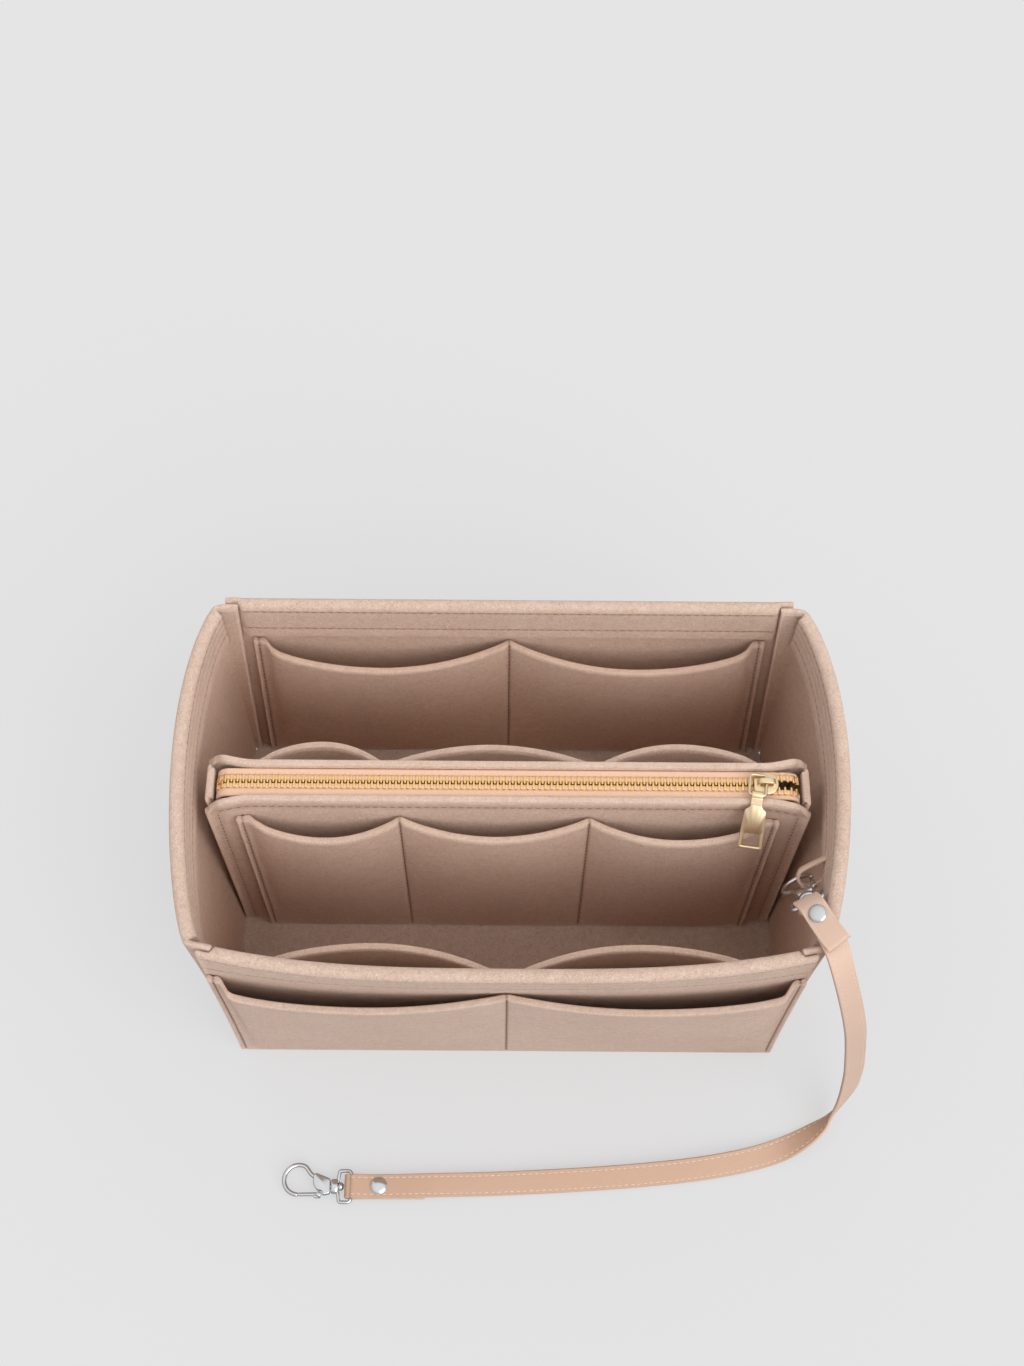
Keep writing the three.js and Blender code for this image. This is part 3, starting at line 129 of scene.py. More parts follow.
def table_top():
    """A square far larger than the view, just under the part, in metres."""
    corners = [(x * table_half, y * table_half, -table_drop) for x, y in ((-1, -1), (1, -1), (1, 1), (-1, 1))]
    mesh = bpy.data.meshes.new("table")
    mesh.from_pydata(corners, [], [(0, 1, 2, 3)])
    made = new_object("table", mesh)
    return made


def painted_backdrop():
    """Matt pale paint. Most of what the camera sees is the even background colour, so that the
    table's shadow stays as faint as on a lit sweep, and the part gets little light back from it."""
    material, tree, shader, output = new_material("matt_backdrop_paint")
    even = node(tree, "ShaderNodeEmission", {"Color": linear(background)})
    camera_ray = node(tree, "ShaderNodeLightPath").outputs["Is Camera Ray"]
    finished(tree, shader, {"Base Color": mix(tree, camera_ray, "#A0A0A2", "#D0D0D2"), "Roughness": 1.0,
                            "Specular IOR Level": 0.0})
    share = arithmetic(tree, camera_ray, even_share)
    mixed = node(tree, "ShaderNodeMixShader", {0: share, 1: shader.outputs[0], 2: even.outputs[0]})
    tree.links.new(mixed.outputs[0], output.inputs["Surface"])
    return material


floor = table_top()
floor.data.materials.append(painted_backdrop())

world = bpy.data.worlds.new("studio")
bpy.context.scene.world = world
world.use_nodes = True
sky = world.node_tree
sky.nodes.clear()
rays = node(sky, "ShaderNodeLightPath")
seen = arithmetic(sky, rays.outputs["Is Camera Ray"], rays.outputs["Is Transmission Ray"], "MAXIMUM")
aim = node(sky, "ShaderNodeTexCoord").outputs["Generated"]
height = node(sky, "ShaderNodeSeparateXYZ", {0: aim}).outputs["Z"]
glow = node(sky, "ShaderNodeMapRange", {"Value": height, "To Min": dome_horizon, "To Max": dome_zenith})
dome = node(sky, "ShaderNodeBackground", {"Color": linear("#FFFFFF"), "Strength": glow.outputs[0]})
plain = node(sky, "ShaderNodeBackground", {"Color": linear(background), "Strength": 1.0})
mixed = node(sky, "ShaderNodeMixShader", {0: seen, 1: dome.outputs[0], 2: plain.outputs[0]})
node(sky, "ShaderNodeOutputWorld", {"Surface": mixed.outputs[0]})


def far_lamp(name, toward, spread, strength):
    """A lamp so far off that its light is even over the table; spread is its width in degrees."""
    lamp = bpy.data.lights.new(name, "SUN")
    lamp.angle = math.radians(spread)
    lamp.energy = strength
    forward = -np.array(toward, float) / np.linalg.norm(toward)
    side = np.cross(forward, (0, 0, 1.0))
    side /= np.linalg.norm(side)
    return turned_to(new_object(name, lamp), side, np.cross(side, forward), forward)


far_lamp("key_lamp", (0.52, -0.62, 0.66), 60, 1.5)

# The box was drawn about its own middle, and the row frame's origin lies this far from it
drawing_origin = np.array([-0.97505, 9.59842, 0.0])

camera_place = np.array([-0.9, -283.35, 797.9]) + drawing_origin
camera_down = math.radians(63.56)
camera_yaw = math.radians(0.39)
camera_roll = math.radians(0.78)
camera_lens = 44.46


def aimed_camera():
    """A camera by its place, its pitch under the horizon, its yaw and its roll."""
    forward = np.array([
        math.sin(camera_yaw) * math.cos(camera_down),
        math.cos(camera_yaw) * math.cos(camera_down),
        -math.sin(camera_down),
    ])
    flat = np.array([math.cos(camera_yaw), -math.sin(camera_yaw), 0.0])
    upward = np.cross(flat, forward)
    right = flat * math.cos(camera_roll) + upward * math.sin(camera_roll)
    top = -flat * math.sin(camera_roll) + upward * math.cos(camera_roll)
    lens = bpy.data.cameras.new("camera")
    lens.lens = camera_lens
    lens.sensor_width = 36
    lens.clip_start = 0.01
    return turned_to(new_object("camera", lens), right, top, forward, camera_place / 1000)


bpy.context.scene.camera = aimed_camera()
bpy.context.scene.view_settings.view_transform = "Standard"

# Leash strap.
# One strip of smooth vegetable-tanned leather, folded round a ring at each end and stitched along
# both edges. It arches over the rim, hangs down to the table, turns half over and runs along the front.

strap_width = 10.6
strap_thickness = 1.6
strap_edge_round = 0.45
stitch_inset = 1.6
strap_stitch_sink = 0.06
strap_channel = (0.1, 0.4)
stitch_pitch = 2.9
stitch_length = 2.1
thread_radius = 0.24
ring_wire = 1.6
fold_gap = 0.65

strap_route = [
    [122.07, -62.57, 154.27, 0.86, 0.33, 0.4],
    [122.52, -63.53, 155.56, 0.86, 0.35, 0.37],
    [123.92, -66.43, 156.12, 0.86, 0.37, 0.34],
    [125.56, -69.9, 156.78, 0.86, 0.39, 0.3],
    [127.2, -73.4, 157.0, 0.87, 0.4, 0.2],
    [128.9, -77.0, 156.4, 0.88, 0.4, 0.08],
    [130.5, -80.7, 155.1, 0.87, 0.39, -0.08],
    [132.0, -84.3, 152.2, 0.86, 0.38, -0.22],
    [133.9, -87.9, 147.2, 0.84, 0.38, -0.34],
    [136.4, -91.3, 139.6, 0.81, 0.37, -0.43],
    [139.2, -94.2, 130.0, 0.78, 0.36, -0.5],
    [142.6, -96.8, 117.0, 0.76, 0.34, -0.55],
    [146.0, -98.9, 102.0, 0.74, 0.32, -0.59],
    [148.9, -100.5, 86.0, 0.71, 0.3, -0.63],
    [151.5, -102.0, 70.0, 0.69, 0.28, -0.67],
    [153.7, -103.5, 55.0, 0.66, 0.26, -0.71],
    [155.1, -105.0, 41.0, 0.62, 0.25, -0.75],
    [155.8, -106.6, 28.5, 0.56, 0.26, -0.79],
    [155.4, -108.5, 18.5, 0.48, 0.3, -0.83],
    [153.7, -111.0, 11.2, 0.38, 0.38, -0.84],
    [150.3, -114.6, 7.0, 0.24, 0.54, -0.8],
    [144.9, -119.0, 5.4, 0.1, 0.78, -0.6],
    [137.9, -123.4, 3.9, 0.12, 0.93, -0.33],
    [130.0, -127.2, 2.4, 0.18, 0.98, -0.08],
    [120.5, -130.6, 2.2, 0.2, 0.96, 0.14],
    [110.0, -133.4, 2.7, 0.17, 0.95, 0.25],
    [98.0, -135.8, 2.9, 0.14, 0.95, 0.3],
    [84.0, -137.9, 2.9, 0.12, 0.95, 0.3],
    [68.0, -139.7, 2.9, 0.1, 0.95, 0.3],
    [50.0, -141.3, 2.9, 0.08, 0.95, 0.3],
    [30.0, -142.7, 2.8, 0.06, 0.96, 0.28],
    [10.0, -143.8, 2.7, 0.05, 0.96, 0.26],
    [-10.0, -144.7, 2.7, 0.04, 0.97, 0.22],
    [-26.0, -145.2, 3.2, 0.02, 0.99, 0.14],
    [-36.0, -145.6, 3.9, 0.01, 1, 0.06],
    [-46.0, -146.0, 4.3, 0, 1, 0],
    [-54.0, -146.2, 4.4, 0, 1, 0],
    [-62.5, -146.3, 4.4, 0, 1, 0],
]
upper_flap = [
    [120.91, -60.99, 155.49, 0.86, 0.33, 0.4],
    [121.56, -62.93, 157.32, 0.86, 0.35, 0.37],
    [123.18, -66.43, 157.98, 0.86, 0.37, 0.34],
    [124.82, -69.9, 158.64, 0.86, 0.39, 0.3],
    [126.6, -73.3, 159.3, 0.86, 0.39, 0.3],
    [128.5, -76.6, 159.8, 0.86, 0.4, 0.3],
    [130.6, -79.7, 160.1, 0.86, 0.4, 0.3],
]
lower_flap = [
    [-62.5, -146.3, 2.4, 0, 1, 0],
    [-54.0, -146.3, 2.4, 0, 1, 0],
    [-45.0, -146.2, 2.1, 0.03, 1, 0],
    [-37.0, -146.1, 1.5, 0.06, 1, 0],
]
upper_bar = np.array([121.4, -59.1, 148.7])
lower_bar = np.array([-70.5, -146.3, 3.4])
upper_side = np.array([0.86, 0.33, 0.4])
lower_side = np.array([0.0, -1.0, 0.0])


def unit(vectors):
    """Each vector divided by its length."""
    return vectors / np.linalg.norm(vectors, axis=-1, keepdims=True)


def walked(line):
    """The distance along a line at each of its points."""
    return np.concatenate([[0], np.cumsum(np.linalg.norm(np.diff(line[:, :3], axis=0), axis=1))])


def curve_through(knots, step):
    """A Hermite curve through the knots with central-difference slopes, cut into even steps."""
    knots = np.asarray(knots, float)
    at = walked(knots)
    slope = np.gradient(knots, at, axis=0)
    fine = np.linspace(0, at[-1], int(at[-1] / 0.25) + 2)
    i = np.clip(np.searchsorted(at, fine) - 1, 0, len(at) - 2)
    h = (at[i + 1] - at[i])[:, None]
    t = (fine[:, None] - at[i][:, None]) / h
    line = ((2 * t**3 - 3 * t**2 + 1) * knots[i] + (t**3 - 2 * t**2 + t) * h * slope[i]
            + (3 * t**2 - 2 * t**3) * knots[i + 1] + (t**3 - t**2) * h * slope[i + 1])
    run = walked(line)
    even = np.linspace(0, run[-1], max(int(round(run[-1] / step)), 2) + 1)
    return np.stack([np.interp(even, run, line[:, k]) for k in range(line.shape[1])], 1)


def folded_end(bar, side, main, flap):
    """A half circle round the bar from the strap's layer to the flap's layer."""
    side = side * np.sign(side.dot(main[3:]))
    run = (np.array(main[:3]) + np.array(flap[:3])) / 2 - bar
    run = unit(run - side * run.dot(side))
    out = np.array(flap[:3]) - np.array(main[:3])
    out = out - side * out.dot(side)
    out = unit(out - run * out.dot(run))
    radius = ring_wire / 2 + fold_gap + strap_thickness / 2
    turn = np.linspace(-math.pi / 2, math.pi / 2, 13)[:, None]
    points = bar + radius * (out * np.sin(turn) - run * np.cos(turn))
    return np.hstack([points, np.repeat(side[None], len(points), 0)])


upper_side = unit(upper_side)
upper_turn = folded_end(upper_bar, upper_side, strap_route[0], upper_flap[0])
lower_turn = folded_end(lower_bar, lower_side, strap_route[-1], lower_flap[0])


def frames_along(path):
    """At each point: the direction of travel, the direction across and the face's direction."""
    run = unit(np.gradient(path[:, :3], axis=0))
    across = path[:, 3:6] - run * np.sum(path[:, 3:6] * run, 1, keepdims=True)
    across = unit(across)
    return run, across, np.cross(run, across)


def carried(path, section, frames):
    """Carries a closed section along a path: point = centre + s * across + f * face."""
    _, across, face = frames
    s, f = section[:, 0], section[:, 1]
    return (path[:, None, :3] + s[None, :, None] * across[:, None, :] + f[None, :, None] * face[:, None, :])


def grid_faces(rows, columns, closed_rows=False):
    """Quads of a grid of points numbered row by row, each row closed in itself."""
    r, c = np.meshgrid(np.arange(rows if closed_rows else rows - 1), np.arange(columns), indexing="ij")
    r2, c2 = (r + 1) % rows, (c + 1) % columns
    quads = np.stack([r * columns + c, r * columns + c2, r2 * columns + c2, r2 * columns + c], -1)
    return quads.reshape(-1, 4)


def tube_mesh(points, closed=False):
    """Points (rings, around, 3) to vertices and faces, with a centre point closing each open end."""
    rings, around, _ = points.shape
    vertices = points.reshape(-1, 3)
    faces = grid_faces(rings, around, closed).tolist()
    if not closed:
        ends = np.array([points[0].mean(0), points[-1].mean(0)])
        first, last = len(vertices), len(vertices) + 1
        start = (rings - 1) * around
        vertices = np.vstack([vertices, ends])
        faces += [[first, (k + 1) % around, k] for k in range(around)]
        faces += [[last, start + k, start + (k + 1) % around] for k in range(around)]
    return vertices, faces


def joined(*meshes):
    """Several (vertices, faces) pairs as one."""
    vertices, faces, base = [], [], 0
    for points, quads in meshes:
        vertices.append(np.asarray(points, float))
        faces += [[base + i for i in face] for face in quads]
        base += len(points)
    return np.vstack(vertices), faces


def signed_volume(points, faces):
    """Six times the volume under the faces, positive when they point outwards."""
    total = 0.0
    for size in (3, 4):
        group = np.array([f for f in faces if len(f) == size], int)
        if len(group):
            a, b, c = points[group[:, 0]], points[group[:, 1]], points[group[:, 2]]
            total += np.einsum("ij,ij->i", a, np.cross(b, c)).sum()
            if size == 4:
                d = points[group[:, 3]]
                total += np.einsum("ij,ij->i", a, np.cross(c, d)).sum()
    return total


def piece(name, mesh, material, body, stands_for=(), attributes=None):
    """Makes an object from a mesh in millimetres of the drawing, faces outwards, riding on a body."""
    points, faces = mesh
    points = (np.asarray(points, float) + drawing_origin) / 1000
    if signed_volume(points - points.mean(0), faces) < 0:
        faces = [face[::-1] for face in faces]
    data = bpy.data.meshes.new(name)
    data.from_pydata(points.tolist(), [], [list(map(int, face)) for face in faces])
    data.polygons.foreach_set("use_smooth", np.ones(len(data.polygons), bool))
    for key, values in (attributes or {}).items():
        data.attributes.new(key, "FLOAT", "POINT").data.foreach_set("value", np.asarray(values, float))
    data.update()
    made = new_object(name, data)
    data.materials.append(material)
    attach(made, body)
    if stands_for:
        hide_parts(*stands_for)
    return made


def full_turn(count):
    """So many angles all round."""
    return np.arange(count) / count * 2 * math.pi


def bead_mesh(centres, along, normal, length, width, height):
    """One long bead per centre: an ellipsoid of rings, all worked out as one array."""
    sides = 6
    across = np.cross(along, normal)
    ring_at = np.array([-0.98, -0.6, 0.0, 0.6, 0.98])
    ring_size = np.sqrt(np.maximum(1 - ring_at**2, 0.04))
    turn = full_turn(sides)
    a = np.repeat(ring_at, sides) * length / 2
    b = np.outer(ring_size, np.cos(turn)).ravel() * width
    c = np.outer(ring_size, np.sin(turn)).ravel() * height
    points = (centres[:, None] + along[:, None] * a[None, :, None]
              + across[:, None] * b[None, :, None] + normal[:, None] * c[None, :, None])
    count = len(a)
    quads = grid_faces(len(ring_at), sides)
    caps = [list(range(sides))[::-1], list(range(count - sides, count))]
    faces = []
    for k in range(len(centres)):
        faces += (quads + k * count).tolist() + [[i + k * count for i in cap] for cap in caps]
    return points.reshape(-1, 3), faces


def stitch_row(line, normal, pitch, length, radius, height_share=0.6):
    """Beads at an even pitch along a line; each lies on the surface that the normals stand on."""
    line = np.asarray(line, float)
    run = walked(line)
    count = max(int(run[-1] / pitch), 1)
    at = (np.arange(count) + 0.5) * run[-1] / count

    def read(values, places):
        """The values at places along the line."""
        return np.stack([np.interp(places, run, values[:, k]) for k in range(3)], 1)

    along = unit(read(line, at + 0.3) - read(line, at - 0.3))
    up = read(normal, at)
    up = unit(up - along * np.sum(up * along, 1, keepdims=True))
    return bead_mesh(read(line, at), along, up, length, radius, radius * height_share)


def channel(distance, depth, width):
    """The hollow that a row of stitches presses: depth times e^-(distance/width)^2."""
    return depth * np.exp(-((distance / width) ** 2))


def strap_section():
    """The strip's outline: round edges, and a shallow channel under each row of stitches."""
    half, thick, r = strap_width / 2, strap_thickness / 2, strap_edge_round
    s = np.concatenate([np.linspace(-half + r, -half + 3, 7), np.linspace(-half + 4, half - 4, 4),
                        np.linspace(half - 3, half - r, 7)])
    turn = np.linspace(0, math.pi / 2, 5)[1:-1]
    right = np.stack([half - r + r * np.sin(turn), thick - r + r * np.cos(turn)], 1)
    top = np.stack([s, thick - channel(half - np.abs(s) - stitch_inset, *strap_channel)], 1)
    under, left = [1, -1], [-1, 1]
    return np.vstack([
        top, right, [[half, thick - r], [half, -thick + r]], (right * under)[::-1], (top * under)[::-1],
        -right, [[-half, -thick + r], [-half, thick - r]], (right * left)[::-1],
    ])


def strap_stitches(path, frames):
    """Both rows of thread on each face."""
    _, across, face = frames
    rows = []
    for side in (1, -1):
        for edge in (-1, 1):
            offset = edge * (strap_width / 2 - stitch_inset)
            line = path[:, :3] + across * offset + face * side * (strap_thickness / 2 - strap_stitch_sink)
            rows.append(stitch_row(line, face * side, stitch_pitch, stitch_length, thread_radius))
    return joined(*rows)


def noise(tree, place, size, detail, **more):
    """A cloud pattern whose features are about so many metres across."""
    sockets = {"Vector": place, "Scale": 1 / size, "Detail": detail, **more}
    return node(tree, "ShaderNodeTexNoise", sockets).outputs["Fac"]


def attribute(tree, name):
    """A number that each point of the mesh carries."""
    return node(tree, "ShaderNodeAttribute", attribute_name=name).outputs["Fac"]


def leather(name, face_colour, back_shade_colour, grain_mm):
    """Smooth vegetable-tanned leather: a fine pebble grain, faint clouding, a soft wax shine. The
    strip's back face is drawn darker than its front face, as painted shade for the run that lies along the
    table."""
    material, tree, shader, _ = new_material(name)
    place = node(tree, "ShaderNodeTexCoord").outputs["Object"]
    cloud = noise(tree, place, 0.022, 3.0)
    pores = node(tree, "ShaderNodeTexVoronoi", {"Vector": place, "Scale": 1000 / grain_mm})
    speck = noise(tree, place, grain_mm * 0.8 / 1000, 4.0)
    # Painted shade: the back face takes a darker tan than the front face.
    sides = mix(tree, attribute(tree, "back_side"), face_colour, back_shade_colour)
    tone = mix(tree, arithmetic(tree, cloud, 0.3), sides, "#B79078")
    flecked = mix(tree, 0.35, tone, mix(tree, speck, tone, "#DFC3B0"))
    finished(tree, shader, {"Base Color": flecked, "Roughness": 0.52, "Specular IOR Level": 0.35},
             pores.outputs["Distance"], 0.00006, 0.5)
    return material


def thread(name, colour):
    """Bonded polyester thread: plied, so each stitch has slanted ridges, and slightly shiny."""
    material, tree, shader, _ = new_material(name)
    place = node(tree, "ShaderNodeTexCoord").outputs["Object"]
    ply = node(tree, "ShaderNodeTexWave", {"Vector": place, "Scale": 1 / 0.0012, "Distortion": 1.0})
    finished(tree, shader, {"Base Color": linear(colour), "Roughness": 0.6}, ply.outputs["Fac"], 0.00005)
    return material


# The second colour is the painted shade of the strip's back face.
strap_leather = leather("vegetable_tanned_leather", "#D6B8A5", "#BB9880", 0.55)
strap_thread = thread("cream_bonded_thread", "#E6CDB6")

whole = np.vstack([upper_flap[::-1], upper_turn[::-1], strap_route, lower_turn, lower_flap])
fine = curve_through(whole, 1.5)
from_upper = np.argmin(np.linalg.norm(fine[:, :3] - upper_turn[0][:3], axis=1))
from_lower = np.argmin(np.linalg.norm(fine[:, :3] - lower_turn[0][:3], axis=1))
fine_frames = frames_along(fine)


def strap_part(first, last):
    """The strip between two places on the whole route, with its frames."""
    cut = slice(first, last + 1)
    part_frames = tuple(f[cut] for f in fine_frames)
    return fine[cut], part_frames


strap_path, strap_frames = strap_part(from_upper, from_lower)


def back_side(count):
    """1 where a point of the strip is on its back, for so many sections and their two end points."""
    return np.concatenate([np.tile((strap_section()[:, 1] < 0) * 1.0, count), [0.5, 0.5]])


strap = piece("strap", tube_mesh(carried(strap_path, strap_section(), strap_frames)), strap_leather,
              "organizer", ["leash_strap"], attributes={"back_side": back_side(len(strap_path))})
strap_rows = piece("strap_stitching", strap_stitches(strap_path, strap_frames), strap_thread,
                   "organizer")
flap_pieces = []
for label, first, last in (("upper", 0, from_upper), ("lower", from_lower, len(fine) - 1)):
    flap_path, flap_frames = strap_part(first, last)
    body_mesh = tube_mesh(carried(flap_path, strap_section(), flap_frames))
    flap_pieces.append(piece(f"{label}_flap", body_mesh, strap_leather, "organizer",
                             attributes={"back_side": (label == "lower") * back_side(len(flap_path))}))

# Leash hardware.
# Bright nickel-plated zinc: a ring with a swivel boss, a trigger hook that turns in it and a sprung
# gate, at each end. The snap that closes each fold is a domed cap of the same plating.

plate_colour = "#C8C9CB"
boss_length = 3.2
boss_half_width = 3.3
boss_half_depth = 2.1
ring_half_width = 7.0
ring_length = 7.4
shank_radius = 1.1
rivet_radius = 1.85
rivet_length = 2.0
hook_wire = 2.0
eye_radius = 6.6
eye_centre = (16.8, -2.9)
block_half_depth = 1.6
gate_pivot = (7.2, 3.5)
knuckle_radius = 1.2
gate_wire = 1.7
snap_cap_radius = 3.8
snap_cap_rise = 1.4
snap_back_radius = 3.4
snap_from_bar = 12.8
layer_pitch = 2.0
wire_sides = 14


def plated_metal(name, colour, roughness):
    """Polished plating over cast metal: a mirror softened by faint casting waves and fine rubs."""
    material, tree, shader, _ = new_material(name)
    place = node(tree, "ShaderNodeTexCoord").outputs["Object"]
    spread = node(tree, "ShaderNodeMapRange", {"Value": noise(tree, place, 0.004, 5.0),
                                               "To Min": roughness * 0.7, "To Max": roughness * 1.5})
    finished(tree, shader, {"Base Color": linear(colour), "Roughness": spread.outputs[0], "Metallic": 1.0},
             noise(tree, place, 0.006, 1.0), 0.00008)
    return material


nickel = plated_metal("nickel_plated_zinc", plate_colour, 0.16)


def wire(line, radius, closed=False):
    """A round bar along a flat line: each ring stands on the line's side and its upright."""
    line = np.asarray(line, float)
    run = unit(np.roll(line, -1, 0) - np.roll(line, 1, 0) if closed else np.gradient(line, axis=0))
    up = np.array([0, 0, 1.0])
    side = unit(np.cross(up, run))
    turn = full_turn(wire_sides)
    rings = (line[:, None] + radius * np.cos(turn)[None, :, None] * side[:, None]
             + radius * np.sin(turn)[None, :, None] * up)
    if not closed:
        dome = np.array([0.35, 0.75, 0.95])
        push = radius * np.sqrt(1 - dome**2)
        head = [line[0] - run[0] * p + (rings[0] - line[0]) * d for d, p in zip(dome, push)]
        tail = [line[-1] + run[-1] * p + (rings[-1] - line[-1]) * d for d, p in zip(dome[::-1], push[::-1])]
        rings = np.concatenate([np.array(head), rings, np.array(tail)])
    return tube_mesh(rings, closed)


def arc(centre, radius, start, end, count):
    """Points on a circle, angles in degrees."""
    turn = np.radians(np.linspace(start, end, count))
    return np.stack([centre[0] + radius * np.cos(turn), centre[1] + radius * np.sin(turn),
                     np.zeros(count)], 1)


def turned(profile, sides=32, axis="a"):
    """A profile of (height, radius) carried round an axis, closed where its radius is small."""
    h, r = np.array(profile, float).T
    turn = full_turn(sides)
    r = r[:, None]
    rings = np.stack([np.repeat(h[:, None], sides, 1), r * np.cos(turn), r * np.sin(turn)], -1)
    if axis == "d":
        rings = rings[..., [1, 2, 0]]
    return tube_mesh(rings)


def soft_plate(outline, half_depth, edge):
    """A plate from a planar outline: three rings per face step in and up to round its edge."""
    line = np.asarray(outline, float)
    run = unit(np.roll(line, -1, 0) - np.roll(line, 1, 0))
    area = np.sum(line[:, 0] * np.roll(line[:, 1], -1) - line[:, 1] * np.roll(line[:, 0], -1))
    inward = np.stack([-run[:, 1], run[:, 0]], 1) * np.sign(area)
    steps = [(edge, -half_depth), (edge * 0.3, -half_depth + edge * 0.3), (0, -half_depth + edge),
             (0, half_depth - edge), (edge * 0.3, half_depth - edge * 0.3), (edge, half_depth)]
    rings = np.stack([np.hstack([line + inward * i, np.full((len(line), 1), d)]) for i, d in steps])
    count = len(line)
    faces = grid_faces(len(steps), count).tolist()
    faces += [list(range(count))[::-1], list(range((len(steps) - 1) * count, len(steps) * count))]
    return rings.reshape(-1, 3), faces


def rounded_outline(corners, radius, count=5):
    """A closed outline whose corners are cut by curves through two points at the given distance."""
    corners = np.asarray(corners, float)
    before, after = np.roll(corners, 1, 0), np.roll(corners, -1, 0)
    reach_in = np.minimum(radius, np.linalg.norm(corners - before, axis=1) * 0.45)[:, None]
    reach_out = np.minimum(radius, np.linalg.norm(after - corners, axis=1) * 0.45)[:, None]
    a = corners + unit(before - corners) * reach_in
    b = corners + unit(after - corners) * reach_out
    t = np.linspace(0, 1, count)[None, :, None]
    bend = (1 - t) ** 2 * a[:, None] + 2 * t * (1 - t) * corners[:, None] + t**2 * b[:, None]
    return bend.reshape(-1, corners.shape[1])


def hardware_frame(bar, side, along):
    """The axes of one hook: along to its tip, side across the strap, depth square to both."""
    along = unit(along - side * along.dot(side))
    depth = np.cross(along, side)
    return bar + along * ring_length, np.stack([along, side, depth])


def placed(mesh, hardware):
    """Local (along, side, depth) points to the drawing."""
    origin, axes = hardware
    return origin + np.asarray(mesh[0]) @ axes, mesh[1]


def moved(mesh, offset):
    """The mesh shifted by an offset."""
    return mesh[0] + offset, mesh[1]


def swivel_ring():
    """The wire loop round the strap and the boss that it is cast with."""
    back, w = -ring_length, ring_wire
    shoulder, bend = -boss_length * 0.3, 2.2
    half = ring_half_width
    loop = np.vstack([
        [[shoulder, 0.5, 0]], arc((shoulder - bend, half - bend), bend, 60, 90, 5),
        arc((back + w, half - w), w, 90, 180, 7), arc((back + w, w - half), w, 180, 270, 7),
        arc((shoulder - bend, bend - half), bend, 270, 300, 5), [[shoulder, -0.5, 0]],
    ])
    half = boss_length / 2
    rim = [(half * 0.7, 1), (half, 0.9), (half, 0.42)]
    shell = turned([(-h, r) for h, r in rim[::-1]] + rim)
    shell = (shell[0] * [1, boss_half_width, boss_half_depth], shell[1])
    return joined(wire(loop, ring_wire / 2, closed=True), shell)


def hook_body():
    """A flat stock block, a bow bent from it round the eye, and the shank riveted in the boss."""
    outline = rounded_outline([
        [2, 3.3], [5.7, 4.1], [5.7, 2.0], [8.4, 1.7], [10, -1], [10, -5.1], [8.6, -5.9], [2, -3.3],
    ], 1.1)
    block = soft_plate(outline, block_half_depth, 0.55)
    bow = np.vstack([[[8.6, -3.6, 0], [11.2, -5.6, 0]], arc(eye_centre, eye_radius, -112, 83, 40)])
    eye = wire(curve_through(bow, 0.6), hook_wire / 2)
    shank = turned([(-4, shank_radius), (3, shank_radius)], 20)
    base = -boss_length / 2 - 0.3
    head = turned([(base, 1.2), (base - 0.1, rivet_radius), (base - 1.2, rivet_radius),
                   (base - rivet_length, rivet_radius * 0.55)], 24)
    return joined(block, eye, shank, head)


def hook_gate():
    """A round bar on a knuckle with a thumb lever outside the block."""
    px, py = gate_pivot
    tip = arc(eye_centre, eye_radius, 83, 83, 1)[0] - [1.4, 0, 0]
    bar = wire(np.linspace([px, py, 0], tip, 8), gate_wire / 2)
    knuckle = turned([(-1.0, 1.0), (-0.85, knuckle_radius), (0.85, knuckle_radius), (1.0, 1.0)], 20, "d")
    lever = soft_plate(rounded_outline([
        [px - 1.1, py + 1.75], [px + 2.3, py + 1.75], [px + 2.4, py + 0.1], [px, py + 0.6],
    ], 0.7, 4), 1.0, 0.35)
    return joined(bar, moved(knuckle, [px, py, 0]), lever)


def snap_cap():
    """A sprung snap's cap: a low dome with a rolled rim."""
    r, h = snap_cap_radius, snap_cap_rise
    turn = np.radians(np.linspace(0, 80, 9))
    dome = [(0.45 + (h - 0.45) * math.sin(t), r * 0.93 * math.cos(t) + 0.02) for t in turn]
    return turned([(-2.2, 1.15), (0, 1.15), (0, r * 0.9), (0.12, r), (0.35, r), (0.45, r * 0.95)] + dome, 40)


def snap_back():
    """The ring post under the strap."""
    r = snap_back_radius
    return turned([(0, 1.6), (0, r * 0.95), (-0.25, r), (-0.6, r * 0.86), (-0.7, r * 0.6), (-0.45, 1.2),
                   (-0.45, 0.5)], 32)


def snap_seat(bar, mains, flaps):
    """Where a snap sits: snap_from_bar along the line midway between the layers, and its axes."""
    mains, flaps = np.array(mains)[: len(flaps)], np.array(flaps)
    line = np.vstack([bar, (mains[:, :3] + flaps[:, :3]) / 2])
    run = walked(line)[1:]
    k = int(np.searchsorted(run, snap_from_bar))
    lay = unit(line[k + 1] - line[k])
    axis = np.cross(flaps[k, 3:] - lay * flaps[k, 3:].dot(lay), lay)
    axis = unit(axis) * np.sign(axis.dot(flaps[k, :3] - mains[k, :3]))
    return line[k + 1] - lay * (run[k] - snap_from_bar), lay, axis


